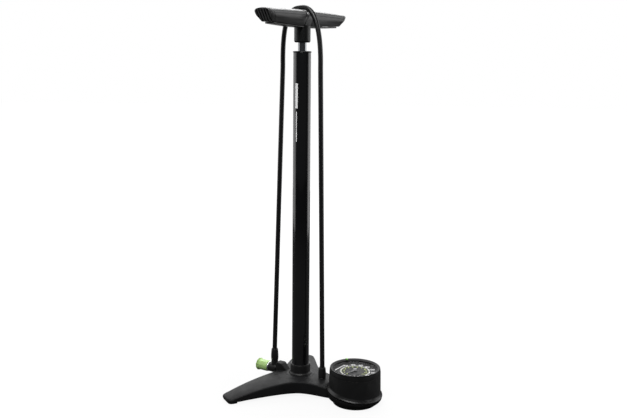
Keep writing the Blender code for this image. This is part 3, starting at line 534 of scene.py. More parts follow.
def top_height(x, y, gauge):
    """Height of the arched, slightly crowned upper face."""
    past = max(math.hypot(x, y) - WEB_R, 0.0)
    edge = EDGE_TOP_Z - TOP_FALL * past - TOP_CURVE * past ** 2
    across = min(abs(y) / half_width(min(max(x, WEB_R / 2), ROUND_FROM), gauge), 1.0)
    height = edge + (2.0 + 1.4 * min(past / 60.0, 1.0)) * (1.0 - across ** 2)
    if gauge:
        inside = min(max((SEAT_R + 1.5 - math.hypot(x - GAUGE_R, y)) / 2.0, 0.0), 1.0)
        stock = seat_height(x) + CREASE + 1.0
        return height + max(stock - height, 0.0) * inside
    return max(height, 5.5)


def foot_height(out, gauge):
    """Height of the arched underside."""
    low = 1.2 if gauge else TOE_Z
    t = min(max((out - 50.0) / 86.0, 0.0), 1.0)
    return low + (ARCH_Z - low) * (1.0 - t ** 2.2)


def leg_point(x, u, gauge, inset=0.0):
    """Plan position in a leg's own frame; u runs -1 to 1 across. The first station is the arc of
    the hub circle and the last one is the rounded end, so the columns fan out smoothly."""
    last = GAUGE_R if gauge else ROUND_FROM
    bulge_end = (CUP_R if gauge else REACH - ROUND_FROM) - inset
    first = WEB_R / 2
    t = (x - first) / (last - first)
    near = max(1.0 - t / 0.15, 0.0) ** 2
    bulge = (first - inset / 2) * (1.0 - t) ** 2 + bulge_end * t ** 2
    spread = math.radians(60.0 + 30.0 * t)
    fan = (math.cos(spread * u) - math.cos(spread)) / (1.0 - math.cos(spread))
    width = half_width(x, gauge) - inset * (1.0 - near * (1.0 - math.sqrt(0.75)))
    side = math.sin(spread * u) / math.sin(spread)
    if not gauge:
        blunt = 1.0 - 0.42 * t ** 4
        fan = max(fan, 0.0) ** blunt
        side = math.copysign(abs(side) ** blunt, side)
    return x - inset / 2 * near + bulge * fan, width * side


def tuck(x, px, py, amount):
    """The cup under the gauge draws in towards the floor."""
    pull = 1.0 - (1.0 - CUP_FLOOR_R / CUP_R) * amount * smooth((x - 65.0) / 36.0)
    return GAUGE_R + (px - GAUGE_R) * pull, py * pull


def leg_rows(bm, leg, turn):
    """One leg: its top grid, the rounded edge, the wall and the bottom grid."""
    gauge = leg == "gauge"
    columns, count = 28, 36
    first, last = WEB_R / 2, GAUGE_R if gauge else ROUND_FROM
    stations = [first + (last - first) * i / count for i in range(count + 1)]
    across = [2.0 * i / columns - 1.0 for i in range(columns + 1)]
    edge = [(x, -1.0) for x in stations] + [(last, u) for u in across[1:]]
    edge += [(x, 1.0) for x in stations[-2::-1]]

    def vertex(x, u, level, kind):
        """level runs 0 to 1 through the crease, the wall or the foot's rounding."""
        if kind == "crease":
            a = level * math.pi / 2
            px, py = leg_point(x, u, gauge, CREASE * (1.0 - math.sin(a)))
            return swing(px, py, turn, top_height(px, py, gauge) - CREASE * (1.0 - math.cos(a)))
        inset = 0.0 if kind == "wall" else level
        px, py = leg_point(x, u, gauge, inset)
        low = foot_height(math.hypot(px, py), gauge)
        z = low + 1.0 - math.sin(level * math.pi / 2) if kind == "foot" else low + 1.0
        if kind == "wall":
            high = top_height(px, py, gauge) - CREASE
            z = high + (low + 1.0 - high) * level
        if gauge:
            drawn = level ** 2.2 if kind == "wall" else 1.0
            px, py = tuck(x, px, py, drawn)
        return swing(px, py, turn, z)

    tops = [[bm.verts.new(vertex(x, u, 0.0, "crease")) for u in across] for x in stations]
    feet = [[bm.verts.new(vertex(x, u, 1.0, "foot")) for u in across] for x in stations]
    skin(bm, tops, False)
    skin(bm, feet, False)
    rings = []
    for kind, steps in (("crease", 5), ("wall", 9), ("foot", 3)):
        for k in range(1 if rings else 0, steps + 1):
            rings.append([bm.verts.new(vertex(x, u, k / steps, kind)) for x, u in edge])
    skin(bm, rings, False)
    return tops[0], feet[0]


def hub_face(bm, edge, raised):
    """Rings from the legs' inner ends to the hub's middle; the upper face rises to a flat ledge."""
    rings = [[bm.verts.new(p) for p in edge]]
    for radius in HUB_RINGS:
        ring = []
        for p in edge:
            flat = Vector((p.x, p.y, 0.0))
            z = p.z
            if raised:
                share = (flat.length - radius) / (flat.length - HUB_RINGS[-1])
                ledge = HUB_STEP * smooth((29.5 - radius) / 3.1)
                z = p.z + (HUB_FACE_Z - HUB_STEP - p.z) * share + ledge
            ring.append(bm.verts.new(flat.normalized() * radius + Z_AXIS * z))
        rings.append(ring)
    skin(bm, rings)
    bm.faces.new(rings[-1])


def base_casting(finish):
    bm = bmesh.new()
    top_edge, foot_edge = [], []
    for leg, turn in LEGS.items():
        tops, feet = leg_rows(bm, leg, turn)
        top_edge += [v.co.copy() for v in tops[:-1]]
        foot_edge += [v.co.copy() for v in feet[:-1]]
    hub_face(bm, top_edge, True)
    hub_face(bm, foot_edge, False)
    base = make("base_shell", bm, finish["enamel"])
    combine(base, dock_boss(), "UNION")
    for leg in ("rear", "left"):
        combine(base, leg_hollow(LEGS[leg]))
    drill(base, "bore", 16.8, 15.0, 60.0)
    drill(base, "seat", SEAT_R, 0.0, 90.0, 144, gauge_place(), lean_seat)
    drill(base, "socket_hole", 6.4, 14.0, 40.0, 48, floor_under(GAUGE))
    drill(base, "outlet", 7.6, 28.0, 50.0, 64, floor_under(OUTLET))
    fit(base, "base", "base_casting")


def lean_seat(place):
    """Tilt the foot of a piece in the gauge's own frame onto the sloping seat."""
    drop = SEAT_Z - SEAT_SLOPE * place.x
    return Vector((place.x, place.y, place.z + drop if place.z < 1.0 else place.z))


def dock_boss():
    """The raised boss on the hub that holds the chuck's peg."""
    stations = ((28.0, 30.0, 6.6), (33.0, 34.0, 7.4), (38.6, 40.4, 7.9), (41.5, 42.0, 8.0),
                (52.6, 41.9, 7.9), (53.2, 41.4, 7.5))
    sections = []
    for out, top, half in stations:
        side = rounded([(-half, 19.0), (-half, top, 1.6), (half, top, 1.6), (half, 19.0)], False)
        sections.append([swing(out, y, CHUCK_TURN, z) for y, z in side])
    return loft("dock_boss", sections, None)


def leg_hollow(turn):
    """The hollow under a leg, open at the bottom."""
    wall = 4.0
    bm = bmesh.new()
    stations = [34.0 + 80.0 * i / 16 for i in range(17)]
    across = [0.9 * (i / 8.0 - 1.0) for i in range(17)]
    roof, mouth = [], []
    for x in stations:
        plan = [leg_point(x, u, False, wall) for u in across]
        roof.append([bm.verts.new(swing(px, py, turn, top_height(px, py, False) - wall))
                     for px, py in plan])
        mouth.append([bm.verts.new(swing(px, py, turn, -6.0)) for px, py in plan])
    skin(bm, roof, False)
    skin(bm, mouth, False)
    for a, b in ((0, 0), (-1, -1)):
        skin(bm, [roof[a], mouth[b]], False)
    for side in (0, -1):
        skin(bm, [[row[side] for row in roof], [row[side] for row in mouth]], False)
    return make("leg_hollow", bm, None)


def foot_pads(finish):
    for leg in ("rear", "left"):
        outline = []
        for i in range(25):
            x, y = leg_point(ROUND_FROM, i / 12.0 - 1.0, False, 1.4)
            outline.append((min(x, REACH - 2.4), y))
        outline += [(139.0, outline[-1][1]), (139.0, outline[0][1])]
        pad = slab("foot_rubber_" + leg, outline, 0.0, TOE_Z - 0.05, finish["rubber"], 0.6,
                   about_z(LEGS[leg]))
        fit(pad, "base", "foot_pad_" + leg)
    under = [(0.0, 1.15), (40.8, 1.15, 0.3), (40.8, 0.0, 0.5), (0.0, 0.0)]
    fit(lathe("foot_rubber_gauge", under, finish["rubber"], 96, floor_under(GAUGE)), "base",
        "foot_pad_gauge")


def base_fittings(finish):
    black = finish["moulding"]
    collar = [(16.6, 50.5, 0.3), (18.6, 50.5, 0.9), (19.2, 46.0), (19.2, 34.2, 2.0), (21.9, 32.4, 0.5),
              (21.9, 31.2), (16.6, 31.2)]
    fit(lathe("collar", collar, black, 128), "base", "barrel_collar")
    spot = floor_under(OUTLET)
    outlet = [(0.0, 31.3), (7.1, 31.3, 0.4), (7.1, 28.3), (0.0, 28.3)]
    fit(lathe("outlet_fitting", outlet, finish["dark_steel"], 64, spot), "base", "hose_outlet")
    ferrule = [(0.0, 37.0), (4.7, 37.0), (4.7, 52.0), (5.7, 52.0, 0.5), (6.6, 49.6, 1.5), (7.3, 42.0, 3.0),
               (7.3, 34.0, 2.0), (7.0, 31.5, 0.5), (0.0, 31.5)]
    fit(lathe("ferrule_base", ferrule, black, 64, spot), "base", "hose_ferrule_base")


# ---- barrel and rod

def barrel_and_rod(finish):
    low, high = BARREL_LOW.z, BARREL_HIGH.z
    tube_wall = [(14.6, low), (BARREL_R, low), (BARREL_R, high, 0.4), (14.6, high)]
    fit(lathe("barrel_tube", tube_wall, finish["gloss"], 160), "base", "barrel")
    cap_low, cap_high = high + 0.3, box("top_cap")[1].z
    cap = [(9.8, cap_high, 0.4), (16.2, cap_high, 1.1), (16.9, cap_high - 1.2, 0.5), (16.9, cap_low, 0.3),
           (14.2, cap_low), (14.2, 620.0), (9.8, 620.0)]
    fit(lathe("cap_ring", cap, finish["moulding"], 128), "base", "top_cap")
    wiper = [(8.0, 643.2, 0.3), (8.9, 642.6, 0.3), (9.5, 643.0, 0.2), (9.5, 638.0), (8.0, 638.0)]
    fit(lathe("wiper", wiper, finish["rubber"], 96), "base", "rod_wiper")
    foot, top = box("piston_rod")[0].z, box("piston_rod")[1].z
    rod = [(0.0, foot), (3.7, foot, 0.3), (4.0, foot + 1.0), (4.0, foot + 22.0), (7.8, foot + 22.0, 0.4),
           (7.8, top - 0.7, 0.4), (6.8, top), (3.3, top), (3.3, 664.0), (0.0, 664.0)]
    fit(lathe("rod", rod, finish["chrome"], 96), "plunger", "piston_rod")
    barrel_graphic(finish)


def valve_spring(finish):
    """The check valve's spring."""
    low, high = box("check_valve_spring")
    wire = 0.45
    turns, per_turn = 4, 24
    path = []
    for i in range(turns * per_turn + 1):
        a = 2.0 * math.pi * i / per_turn
        z = low.z + wire + (high.z - low.z - 2.0 * wire) * i / (turns * per_turn)
        path.append(Vector(((high.x - wire) * math.cos(a), (high.x - wire) * math.sin(a), z)))
    coil = tube("valve_coil", path, wire, 10, finish["zinc"])
    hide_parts("check_valve_spring")
    blend_up(coil)


def barrel_graphic(finish):
    """Two plain printed bars down the barrel."""
    face, proud = 236.0, 0.06
    for name, low, high, width in (("bar_print_wide", 541.0, 586.0, 5.4),
                                   ("bar_print_thin", 480.0, 535.0, 1.8)):
        bm = bmesh.new()
        half = math.degrees(width / 2 / BARREL_R)
        rows = []
        for z, trim in ((low, 0.72), (low + 0.5, 1.0), (high - 0.5, 1.0), (high, 0.72)):
            angles = [math.radians(face + half * trim * (i / 4.0 - 1.0)) for i in range(9)]
            row = []
            for radius, order in ((BARREL_R + proud, angles), (BARREL_R - 0.05, angles[::-1])):
                row += [bm.verts.new((radius * math.cos(a), radius * math.sin(a), z)) for a in order]
            rows.append(row)
        skin(bm, rows, capped=True)
        fit(make(name, bm, finish["glowing_print_white"]), "base")


# ---- handle

def lip_rise(x):
    """The handle's underside sweeps up a little towards its ends."""
    return 3.0 * (min(abs(x), LIP_HALF) / LIP_HALF) ** 2


def handle_side(x):
    """One side of the section from the channel up to the crown: two fine grooves frame a band
    along the shoulder."""
    lift = 2.0 * (abs(x) / HANDLE_HALF) ** 2
    crown = CROWN_Z - lift
    low = LIP_Z + 3.0 + lip_rise(x)
    lower = [(9.6, low), (11.4, low + 0.2), (12.4, low + 1.4), (14.6, low + 5.0), (17.5, 700.0),
             (18.9, 705.6 - lift)]
    band = [(19.0, 706.3), (18.55, 706.7), (19.0, 707.1), (19.0, 709.0), (18.85, 710.1), (18.3, 710.4),
            (18.4, 710.9)]
    upper = [(17.9, 711.7 - lift), (14.2, crown - 2.0), (7.6, crown - 0.5), (0.0, crown)]
    return spline(lower, 5) + [Vector((y, z - lift)) for y, z in band] + spline(upper, 6)


def handle_ring(x, scale, hollow=True):
    """A closed section; its plane leans out with height towards the handle's ends."""
    mid_z = 702.0
    side = [Vector((p.x * scale, mid_z + (p.y - mid_z) * scale)) for p in handle_side(x)]
    ring = side + [Vector((-p.x, p.y)) for p in side[-2::-1]]
    low = side[0].y
    roof = 703.0 if hollow else low
    ring += [Vector(p) for p in ((-7.0, low), (-7.0, roof), (7.0, roof), (7.0, low))]
    lean = END_SLANT * min(1.6 * max(abs(x) - 60.0, 0.0) / (HANDLE_HALF - 60.0), 1.0)
    sign = math.copysign(1.0, x)
    return [Vector((x + sign * lean * (p.y - SHOULDER_Z), p.x, p.y)) for p in ring]


def handle(finish):
    turn = about_z(HANDLE_TURN)
    for side, sign in (("left", -1.0), ("right", 1.0)):
        spots = [(NOTCH_HALF + x, scale) for x, scale in GRIP_NOSE]
        spots += [(20.0 + 6.6 * i, 1.0) for i in range(13)]
        spots += [(CAP_FROM - 1.0, 1.0), (CAP_FROM - 0.5, 0.985), (CAP_FROM - 0.3, 0.97)]
        grip = loft("grip_" + side, [handle_ring(sign * x, k) for x, k in spots], finish["grip"], 28.0,
                    turn)
        fit(grip, "plunger", "handle_grip_" + side)
        spots = [(CAP_FROM, 0.97), (CAP_FROM + 0.2, 0.985), (CAP_FROM + 0.7, 1.0)]
        spots += [(HANDLE_HALF - x, scale) for x, scale in CAP_END]
        cap = loft("ribbed_cap_" + side, [handle_ring(sign * x, k, False) for x, k in spots],
                   finish["grip"], 28.0, turn)
        for i in range(5):
            # the grooves' walls take the black moulding finish: painted shade in them
            combine(cap, end_groove(finish, sign, (i - 2) * 5.8, turn), "DIFFERENCE", 28.0)
        fit(cap, "plunger", "end_cap_" + side)
    handle_core(finish, turn)


def end_groove(finish, sign, y, turn):
    """One upright groove in the leaning end face of a handle cap. Its walls carry the black moulding finish
    into the cap, painting the groove dark as painted shade.
    """
    deep, half = 3.0, 1.5
    sections = []
    for z in (688.5, 710.5):
        face = HANDLE_HALF + END_SLANT * (z - SHOULDER_Z)
        outline = [(face + 6.0, -half)] + arc(half, -90.0, -270.0, 10, (face - deep + half, 0.0))
        outline += [(face + 6.0, half)]
        sections.append([Vector((sign * x, y + across, z)) for x, across in outline])
    return loft("end_groove", sections, finish["moulding"], matrix=turn)


def handle_core(finish, turn):
    black = finish["moulding"]
    stem = [(8.2, 683.0), (8.2, 659.0, 0.3), (13.4, 659.0, 0.4), (14.9, 661.2, 0.6), (14.9, 688.0),
            (8.2, 688.0)]
    core = lathe("stem_and_saddle", stem, black, 96, turn)
    sections = []
    for i in range(25):
        x = -LIP_HALF + 2.0 * LIP_HALF * i / 24
        half = 11.0 - 1.4 * (abs(x) / LIP_HALF) ** 2
        low = LIP_Z + lip_rise(x)
        side = rounded([(-half, low, 0.8), (half, low, 0.8), (half, low + 2.6, 0.5),
                        (-half, low + 2.6, 0.5)], True)
        sections.append([Vector((x, y, z)) for y, z in side])
    combine(core, loft("lip", sections, None, matrix=turn), "UNION")
    edge = NOTCH_HALF - 0.3
    half = [(-11.6, 686.2), (-16.4, 698.0), (-17.7, 703.6), (-15.4, 707.8), (-8.4, 712.2)]
    side = spline(half + [(0.0, 714.0)] + [(-y, z) for y, z in half[::-1]], 5)
    saddle = [[Vector((x, p.x, p.y)) for p in side] for x in (-edge, edge)]
    combine(core, loft("saddle", saddle, finish["grip"], matrix=turn), "UNION")
    drill(core, "bolt_seat", 5.7, 709.0, 722.0, 48, turn)
    fit(core, "plunger", "handle_core")
    bolt = [(0.0, 711.2), (1.9, 711.2, 0.2), (1.9, 713.5, 0.2), (5.2, 713.5, 0.5), (5.2, 709.3), (0.0, 709.3)]
    fit(lathe("bolt_head", bolt, finish["zinc"], 48, turn), "plunger", "handle_bolt")


# ---- hose

def hose_strands():
    """Both strands from their feet to the crest, as the CAD hose runs."""
    feet = {
        "gauge": Vector((OUTLET.x, OUTLET.y, box("hose")[0].z)),
        "chuck": Vector((CHUCK.x, CHUCK.y, box("hose_ferrule_chuck")[0].z + 6.7)),
    }
    side = swing(1.0, 0.0, HANDLE_TURN - 90.0)
    rise = HOSE_CREST_Z - SHOULDER_LOW_Z
    strands = {}
    for end, sign in (("gauge", 1.0), ("chuck", -1.0)):
        foot = feet[end]
        shoulder = side * sign * HOSE_SPREAD[end]
        strand = [foot + Z_AXIS * up for up in (0.0, 9.0, 16.0)]
        foot = foot + Z_AXIS * 18.0
        for i in range(8):
            t = (i + 0.25) / 8.0
            flat = foot.lerp(shoulder, t)
            strand.append(Vector((flat.x, flat.y, foot.z + (SHOULDER_LOW_Z - foot.z) * t)))
        for i in range(14):
            a = math.pi / 2.0 * (i / 14.0) ** 1.25
            power = 2.0 / HOSE_ROUND[end]
            up = SHOULDER_LOW_Z + rise * math.sin(a) ** power
            strand.append(shoulder * math.cos(a) ** power + Z_AXIS * up)
        strands[end] = strand
    return strands["gauge"] + [Z_AXIS * HOSE_CREST_Z] + strands["chuck"][::-1]


def hose(finish):
    """One run over the handle, and a foot below it down to the chuck."""
    path = spline(hose_strands(), 12)
    crest = max(range(len(path)), key=lambda i: path[i].z)
    upper = [p for i, p in enumerate(path) if i <= crest or p.z >= HOSE_JOINT_Z]
    over = tube("hose_run", upper, HOSE_R, 24, finish["hose"])
    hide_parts("hose")
    blend_up(over)
    foot = tube("hose_foot", path[len(upper) - 1:], HOSE_R, 24, finish["hose"])
    blend_up(foot)


# ---- gauge

def gauge_place():
    """The gauge's own frame, with X out along its leg."""
    return floor_under(GAUGE) @ about_z(LEGS["gauge"])


def lean_housing(place):
    """The skirt follows the sloping seat and the rim above stays level."""
    share = 1.0 - smooth((place.z - 24.0) / 26.0)
    return Vector((place.x, place.y, place.z - SEAT_SLOPE * place.x * share))


def gauge(finish):
    place = gauge_place()
    low = SEAT_Z
    housing = [(6.4, low), (49.6, low), (49.6, low + 1.1), (51.6, low + 1.3, 0.7), (51.6, low + 2.4, 1.0),
               (50.2, low + 4.2, 2.0), (48.4, low + 8.0, 5.0), (48.2, low + 14.0), (47.6, RIM_Z - 0.1, 0.1),
               (42.6, RIM_Z - 0.1), (42.6, LENS_Z - 0.4), (41.3, LENS_Z - 0.4), (41.3, DIAL_Z - 1.3),
               (39.5, DIAL_Z - 1.3), (39.5, low + 1.6), (6.4, low + 1.6)]
    fit(lathe("housing", housing, finish["housing"], 160, place, 30.0, lean_housing), "base",
        "gauge_housing")
    top = box("gauge_bezel")[1].z
    bezel = [(43.0, RIM_Z + 0.1), (47.6, RIM_Z + 0.1, 0.1), (47.6, RIM_Z + 2.6), (46.9, top - 2.2, 0.8),
             (46.4, top, 0.8), (45.6, top, 0.3), (41.2, LENS_Z + 2.1, 0.3), (41.2, LENS_Z + 1.7),
             (43.0, LENS_Z + 1.7)]
    hoop = lathe("bezel", bezel, finish["housing"], 160, place, 30.0)
    # the bezel's top takes the darker black: painted shade
    paint_within(hoop, finish["rim"], 46.7, top + 1.0)
    paint_within(hoop, finish["surround"], 45.2, top - 0.25)
    fit(hoop, "bezel", "gauge_bezel")
    mark_low = box("bezel_marker")[0].z
    spot = middle("bezel_marker") - GAUGE
    heading = math.degrees(math.atan2(spot.y, spot.x))
    mark = arc(45.7, heading - 2.6, heading + 2.6, 6) + arc(40.2, heading + 1.6, heading - 1.6, 2)
    level = floor_under(GAUGE)
    fit(slab("marker", mark, mark_low - 1.2, mark_low + 0.9, finish["marker"], 0.25, level), "bezel",
        "bezel_marker")
    lens = [(0.0, LENS_Z), (42.4, LENS_Z, 0.2), (42.4, LENS_Z + 1.4, 0.3), (30.0, LENS_Z + 1.75),
            (14.0, LENS_Z + 1.95), (0.0, LENS_Z + 2.0)]
    fit(lathe("lens", lens, clear_lens(), 128, place, 60.0), "base", "gauge_lens")
    dial(finish, level)


def paint_within(ob, material, reach, high):
    """The faces of a gauge piece nearer its axis than reach and under high get one more finish."""
    ob.data.materials.append(material)
    slot = len(ob.data.materials) - 1
    for face in ob.data.polygons:
        spot = face.center / MM - GAUGE
        if math.hypot(spot.x, spot.y) < reach and face.center.z / MM < high:
            face.material_index = slot


def scale_angle(i, count):
    """The angle of step i out of count along the dial's scales."""
    return math.radians(SCALE_FROM + (SCALE_TO - SCALE_FROM) * i / count)


def ticks(bm, inner, outer, width, count):
    """Radial strokes along the dial's scale."""
    for i in range(count + 1):
        a = scale_angle(i, count)
        along, across = Vector((math.cos(a), math.sin(a), 0.0)), Vector((-math.sin(a), math.cos(a), 0.0))
        flat = [along * r + across * w for r, w in
                ((inner, -width / 2), (outer, -width / 2), (outer, width / 2), (inner, width / 2))]
        skin(bm, [[bm.verts.new(p + Z_AXIS * z) for p in flat] for z in (PRINT_LOW, PRINT_HIGH)],
             capped=True)


def figures(name, labels, radius, start, end, size, material, place):
    """Numbers round the dial, all the same way up."""
    for i, label in enumerate(labels):
        a = math.radians(start + (end - start) * i / (len(labels) - 1))
        curve = bpy.data.curves.new(name + label, "FONT")
        curve.body = label
        curve.size = size
        curve.align_x = "CENTER"
        curve.align_y = "CENTER"
        curve.extrude = 0.04
        curve.offset = size * 0.012
        carrier = add_object(name + label, curve)
        bpy.context.view_layer.update()
        shaped = carrier.evaluated_get(bpy.context.evaluated_depsgraph_get())
        mesh = bpy.data.meshes.new_from_object(shaped)
        bpy.data.objects.remove(carrier)
        spot = Matrix.Translation((radius * math.cos(a), radius * math.sin(a), DIAL_Z + 0.05))
        mesh.transform(Matrix.Scale(MM, 4) @ place @ spot)
        mesh.materials.append(material)
        fit(add_object(name + label, mesh), "base")


def dial(finish, level):
    face = [(1.8, DIAL_Z), (1.8, DIAL_Z - 1.0), (41.1, DIAL_Z - 1.0), (41.1, LENS_Z - 0.2),
            (40.9, LENS_Z - 0.2), (38.9, DIAL_Z)]
    plate = lathe("dial_face", face, finish["surround"], 128, level)
    paint_within(plate, finish["dial"], 38.8, DIAL_Z + 0.1)
    fit(plate, "base", "gauge_dial")
    outer = bmesh.new()
    ticks(outer, 26.0, 28.4, 1.1, 22)
    ticks(outer, 26.0, 27.4, 0.6, 88)
    fit(make("scale_white", outer, finish["glowing_print_white"], 30.0, level), "base")
    inner = bmesh.new()
    ticks(inner, 24.2, 25.6, 0.7, 33)
    fit(make("scale_lime", inner, finish["glowing_print_lime"], 30.0, level), "base")
    ring("ring_white", 25.7, 26.4, finish["glowing_print_white"], level)
    bar = [(-38.0, 3.0), (-36.7, 2.1), (-19.6, 28.6), (-20.9, 29.5)]
    fit(slab("start_bar", bar, PRINT_LOW, PRINT_HIGH, finish["glowing_print_white"], matrix=level), "base")
    outer_labels = [str(n) for n in range(20, 161, 20)]
    figures("figure_outer_", outer_labels, 31.6, 124.0, -66.0, 8.4, finish["glowing_print_white"], level)
    inner_labels = [str(n) for n in range(12)]
    figures("figure_inner_", inner_labels, 20.6, SCALE_FROM, SCALE_TO, 6.4, finish["glowing_print_lime"], level)
    # a light grey triangle printed on the dial past the hub: a painted highlight standing in for the hub's
    # light
    mark = [(-4.2, 14.0), (4.2, 14.0), (0.0, 5.0)]
    fit(slab("hub_highlight_mark", mark, PRINT_LOW, PRINT_HIGH, finish["hub_highlight_grey"], matrix=level), "base")
    hub = [(0.0, NEEDLE_HIGH + 0.6), (2.0, NEEDLE_HIGH + 0.5, 0.4), (3.9, NEEDLE_HIGH, 0.3),
           (3.9, NEEDLE_LOW, 0.2), (0.0, NEEDLE_LOW)]
    needle = lathe("needle", hub, finish["needle"], 48, level)
    hand = arc(3.2, 200.0, 340.0, 12) + [(1.2, 8.0), (0.3, 33.0), (-0.3, 33.0), (-1.2, 8.0)]
    turn = level @ about_z(135.0)
    blade = slab("blade", hand, NEEDLE_LOW + 0.1, NEEDLE_HIGH - 0.1, None, 0.12, turn)
    combine(needle, blade, "UNION")
    fit(needle, "pointer", "gauge_needle")


def ring(name, inner, outer, material, level):
    """A thin printed arc along the dial's scale."""
    bm = bmesh.new()
    count = 96
    rows = []
    for i in range(count + 1):
        a = scale_angle(i, count)
        row = []
        for r, z in ((inner, PRINT_LOW), (outer, PRINT_LOW), (outer, DIAL_Z + 0.05),
                     (inner, DIAL_Z + 0.05)):
            row.append(bm.verts.new((r * math.cos(a), r * math.sin(a), z)))
        rows.append(row)
    skin(bm, rows, capped=True)
    fit(make(name, bm, material, 30.0, level), "base")


# ---- chuck

def chuck(finish):
    """Pieces on the chuck's own axis, which points out from the barrel."""
    black = finish["moulding"]
    start = swing(61.0, 0.0, CHUCK_TURN, CHUCK_Z)
    upright = Matrix.Translation(start)
    place = upright @ about_z(CHUCK_TURN) @ Matrix.Rotation(math.radians(90.0), 4, "Y")
    body = [(5.3, -7.1, 0.5), (8.8, -7.1, 1.6), (9.4, -4.0), (9.4, 9.4, 0.4), (8.8, 10.8, 0.4), (3.2, 10.8),
            (3.2, 0.5), (5.3, 0.5)]
    shell = lathe("chuck_shell", body, black, 96, place)
    top = box("hose_ferrule_chuck")[0].z
    reach = top - CHUCK_Z - 0.1
    neck = [(0.0, 5.0), (6.9, 5.0), (6.7, reach, 0.6), (0.0, reach)]
    combine(shell, lathe("neck", neck, None, 64, upright), "UNION")
    fit(shell, "chuck", "chuck_body")
    collar = [(3.2, 11.1), (9.5, 11.1, 0.4), (9.8, 12.3, 0.3), (9.5, 13.6, 0.4), (3.2, 13.6)]
    fit(lathe("chuck_ring", collar, finish["silver"], 96, place), "chuck", "chuck_collar")
    knob = [(0.0, 39.2), (6.2, 39.2, 0.6), (6.8, 38.5, 0.5), (8.8, 38.5, 0.5), (10.2, 39.2, 0.5),
            (11.9, 38.1, 0.8), (11.9, 35.6, 0.7), (10.5, 34.2, 1.2), (10.5, 16.2, 0.8), (9.8, 13.9, 0.5),
            (2.8, 13.9), (2.8, 3.0), (0.0, 3.0)]
    grip = lathe("twist_knob", knob, finish["green"], 120, place, 35.0, knob_flutes)
    grip.data.materials.append(finish["green_edge"])
    for face in grip.data.polygons:
        out = (place.inverted() @ (face.center / MM)).z
        face.material_index = 1 if out > 35.0 else 0
    fit(grip, "knob", "chuck_knob")
    ferrule = [(0.0, top + 6.0), (4.7, top + 6.0), (4.7, top + 23.5), (5.7, top + 23.5, 0.5),
               (6.5, top + 21.2, 1.5), (7.3, top + 10.6, 3.0), (7.3, top + 4.0, 2.0), (6.7, top, 0.5),
               (0.0, top)]
    fit(lathe("ferrule_chuck", ferrule, black, 64, floor_under(start)), "chuck", "hose_ferrule_chuck")


def knob_flutes(place):
    """Shallow finger flutes along the knob's barrel."""
    radius = math.hypot(place.x, place.y)
    if radius < 9.9 or place.z < 17.5:
        return place
    angle = math.atan2(place.y, place.x)
    deep = 0.45 if place.z < 34.0 else 0.9
    dip = deep * (0.5 - 0.5 * math.cos(10.0 * angle)) ** 3
    return Vector((place.x * (1.0 - dip / radius), place.y * (1.0 - dip / radius), place.z))


# ---- carried-over nodes

CARRIED = {
    "zinc": ("valve_seat", "piston_nut"),
    "brass": ("rod_bush", "gauge_socket", "movement_plate_lower", "movement_plate_upper",
              "movement_pillar_a", "movement_pillar_b", "needle_spindle", "sector_gear", "sector_shaft",
              "gauge_link"),
    "bronze": ("bourdon_tube",),
    "rubber": ("barrel_gasket", "check_valve_disc", "piston_seal", "stop_bumper", "chuck_gland"),
    "white": ("piston_head",),
    "moulding": ("dock_peg", "chuck_pusher"),
}


def carried_over(finish):
    for key, names in CARRIED.items():
        for name in names:
            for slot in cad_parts[name].material_slots:
                slot.material = finish[key]


# ---- studio

def panel(name, place, aim_z, size, energy):
    """A soft rectangular light that points at a height on the barrel's axis."""
    light = bpy.data.lights.new(name, "AREA")
    light.shape = "RECTANGLE"
    light.size, light.size_y = size
    light.energy = energy
    ob = add_object(name, light)
    ob.location = place
    ob.rotation_euler = (Z_AXIS * aim_z - Vector(place)).to_track_quat("-Z", "Y").to_euler()


def by_camera(tree, seen, unseen, output):
    """The output takes one shader where the camera looks and the other where light bounces."""
    path = tree.nodes.new("ShaderNodeLightPath")
    mix = tree.nodes.new("ShaderNodeMixShader")
    tree.links.new(path.outputs["Is Camera Ray"], mix.inputs["Fac"])
    tree.links.new(unseen, mix.inputs[1])
    tree.links.new(seen, mix.inputs[2])
    tree.links.new(mix.outputs["Shader"], tree.nodes[output].inputs["Surface"])


def white_world():
    """White to the camera, and a dim cool fill on the object."""
    world = bpy.data.worlds.new("studio")
    bpy.context.scene.world = world
    world.use_nodes = True
    tree = world.node_tree
    white = tree.nodes["Background"]
    white.inputs["Color"].default_value = (1.0, 1.0, 1.0, 1.0)
    dim = tree.nodes.new("ShaderNodeBackground")
    dim.inputs["Color"].default_value = (0.95, 0.97, 1.0, 1.0)
    dim.inputs["Strength"].default_value = 0.07
    by_camera(tree, white.outputs["Background"], dim.outputs["Background"], "World Output")


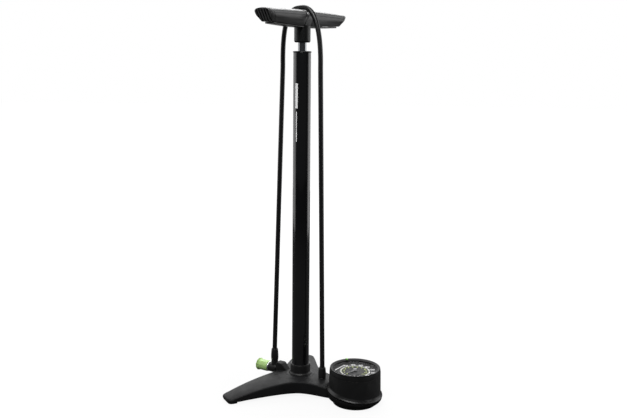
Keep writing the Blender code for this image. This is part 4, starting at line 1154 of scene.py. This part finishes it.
def floor_paint():
    """Dark matt paint that glows to the camera, a little less round the pump than further out."""
    material = bpy.data.materials.new("studio_floor")
    material.use_nodes = True
    tree = material.node_tree
    nodes, links = tree.nodes, tree.links
    paint = nodes["Principled BSDF"]
    paint.inputs["Base Color"].default_value = (0.07, 0.07, 0.07, 1.0)
    paint.inputs["Roughness"].default_value = 0.9
    paint.inputs["Specular IOR Level"].default_value = 0.0
    glow = nodes.new("ShaderNodeEmission")
    place = nodes.new("ShaderNodeTexCoord")
    away = nodes.new("ShaderNodeVectorMath")
    away.operation = "LENGTH"
    links.new(place.outputs["Object"], away.inputs[0])
    links.new(ranged(tree, away.outputs["Value"], (0.91, 1.0), (0.15, 0.45)), glow.inputs["Strength"])
    both = nodes.new("ShaderNodeAddShader")
    links.new(paint.outputs["BSDF"], both.inputs[0])
    links.new(glow.outputs["Emission"], both.inputs[1])
    by_camera(tree, both.outputs["Shader"], paint.outputs["BSDF"], "Material Output")
    return material


def studio():
    white_world()
    half, low = 12.0, -0.0002
    mesh = bpy.data.meshes.new("studio_floor")
    corners = [(-half, -half, low), (half, -half, low), (half, half, low), (-half, half, low)]
    mesh.from_pydata(corners, [], [(0, 1, 2, 3)])
    mesh.materials.append(floor_paint())
    add_object("studio_floor", mesh)

    panel("overhead", (-0.1, 0.2, 2.4), 0.4, (1.4, 1.2), 9.0)
    panel("front_top", (-0.3, -1.5, 2.3), 0.3, (1.6, 1.0), 44.0)
    panel("back_top", (-0.4, 1.8, 2.1), 0.6, (2.4, 1.5), 42.0)
    panel("backdrop", (0.0, 2.5, 1.0), 0.5, (3.6, 2.0), 30.0)
    panel("left_wall", (-2.0, 0.6, 0.75), 0.45, (2.2, 1.8), 15.0)
    panel("right_wall", (1.75, 0.75, 0.75), 0.5, (1.5, 1.6), 12.0)
    panel("right_strip", (1.64, -0.73, 0.6), 0.4, (0.10, 1.4), 2.6)


def camera():
    """A normal lens 1.5 m in front of the pump and 0.61 m up, looking down 10 degrees."""
    data = bpy.data.cameras.new("camera")
    data.lens = 45.933014
    data.sensor_fit = "HORIZONTAL"
    data.clip_start, data.clip_end = 0.05, 60.0
    ob = add_object("camera", data)
    ob.location = (0.091949, -1.475444, 0.612700)
    ahead = Vector((-0.046053, 0.983851, -0.172961))
    roll = math.radians(-0.50)
    ob.rotation_mode = "QUATERNION"
    ob.rotation_quaternion = Quaternion(ahead, roll) @ ahead.to_track_quat("-Z", "Y")
    scene = bpy.context.scene
    scene.camera = ob
    scene.view_settings.view_transform = "Standard"


finish = finishes()
base_casting(finish)
foot_pads(finish)
base_fittings(finish)
barrel_and_rod(finish)
valve_spring(finish)
handle(finish)
hose(finish)
gauge(finish)
chuck(finish)
carried_over(finish)
studio()
camera()
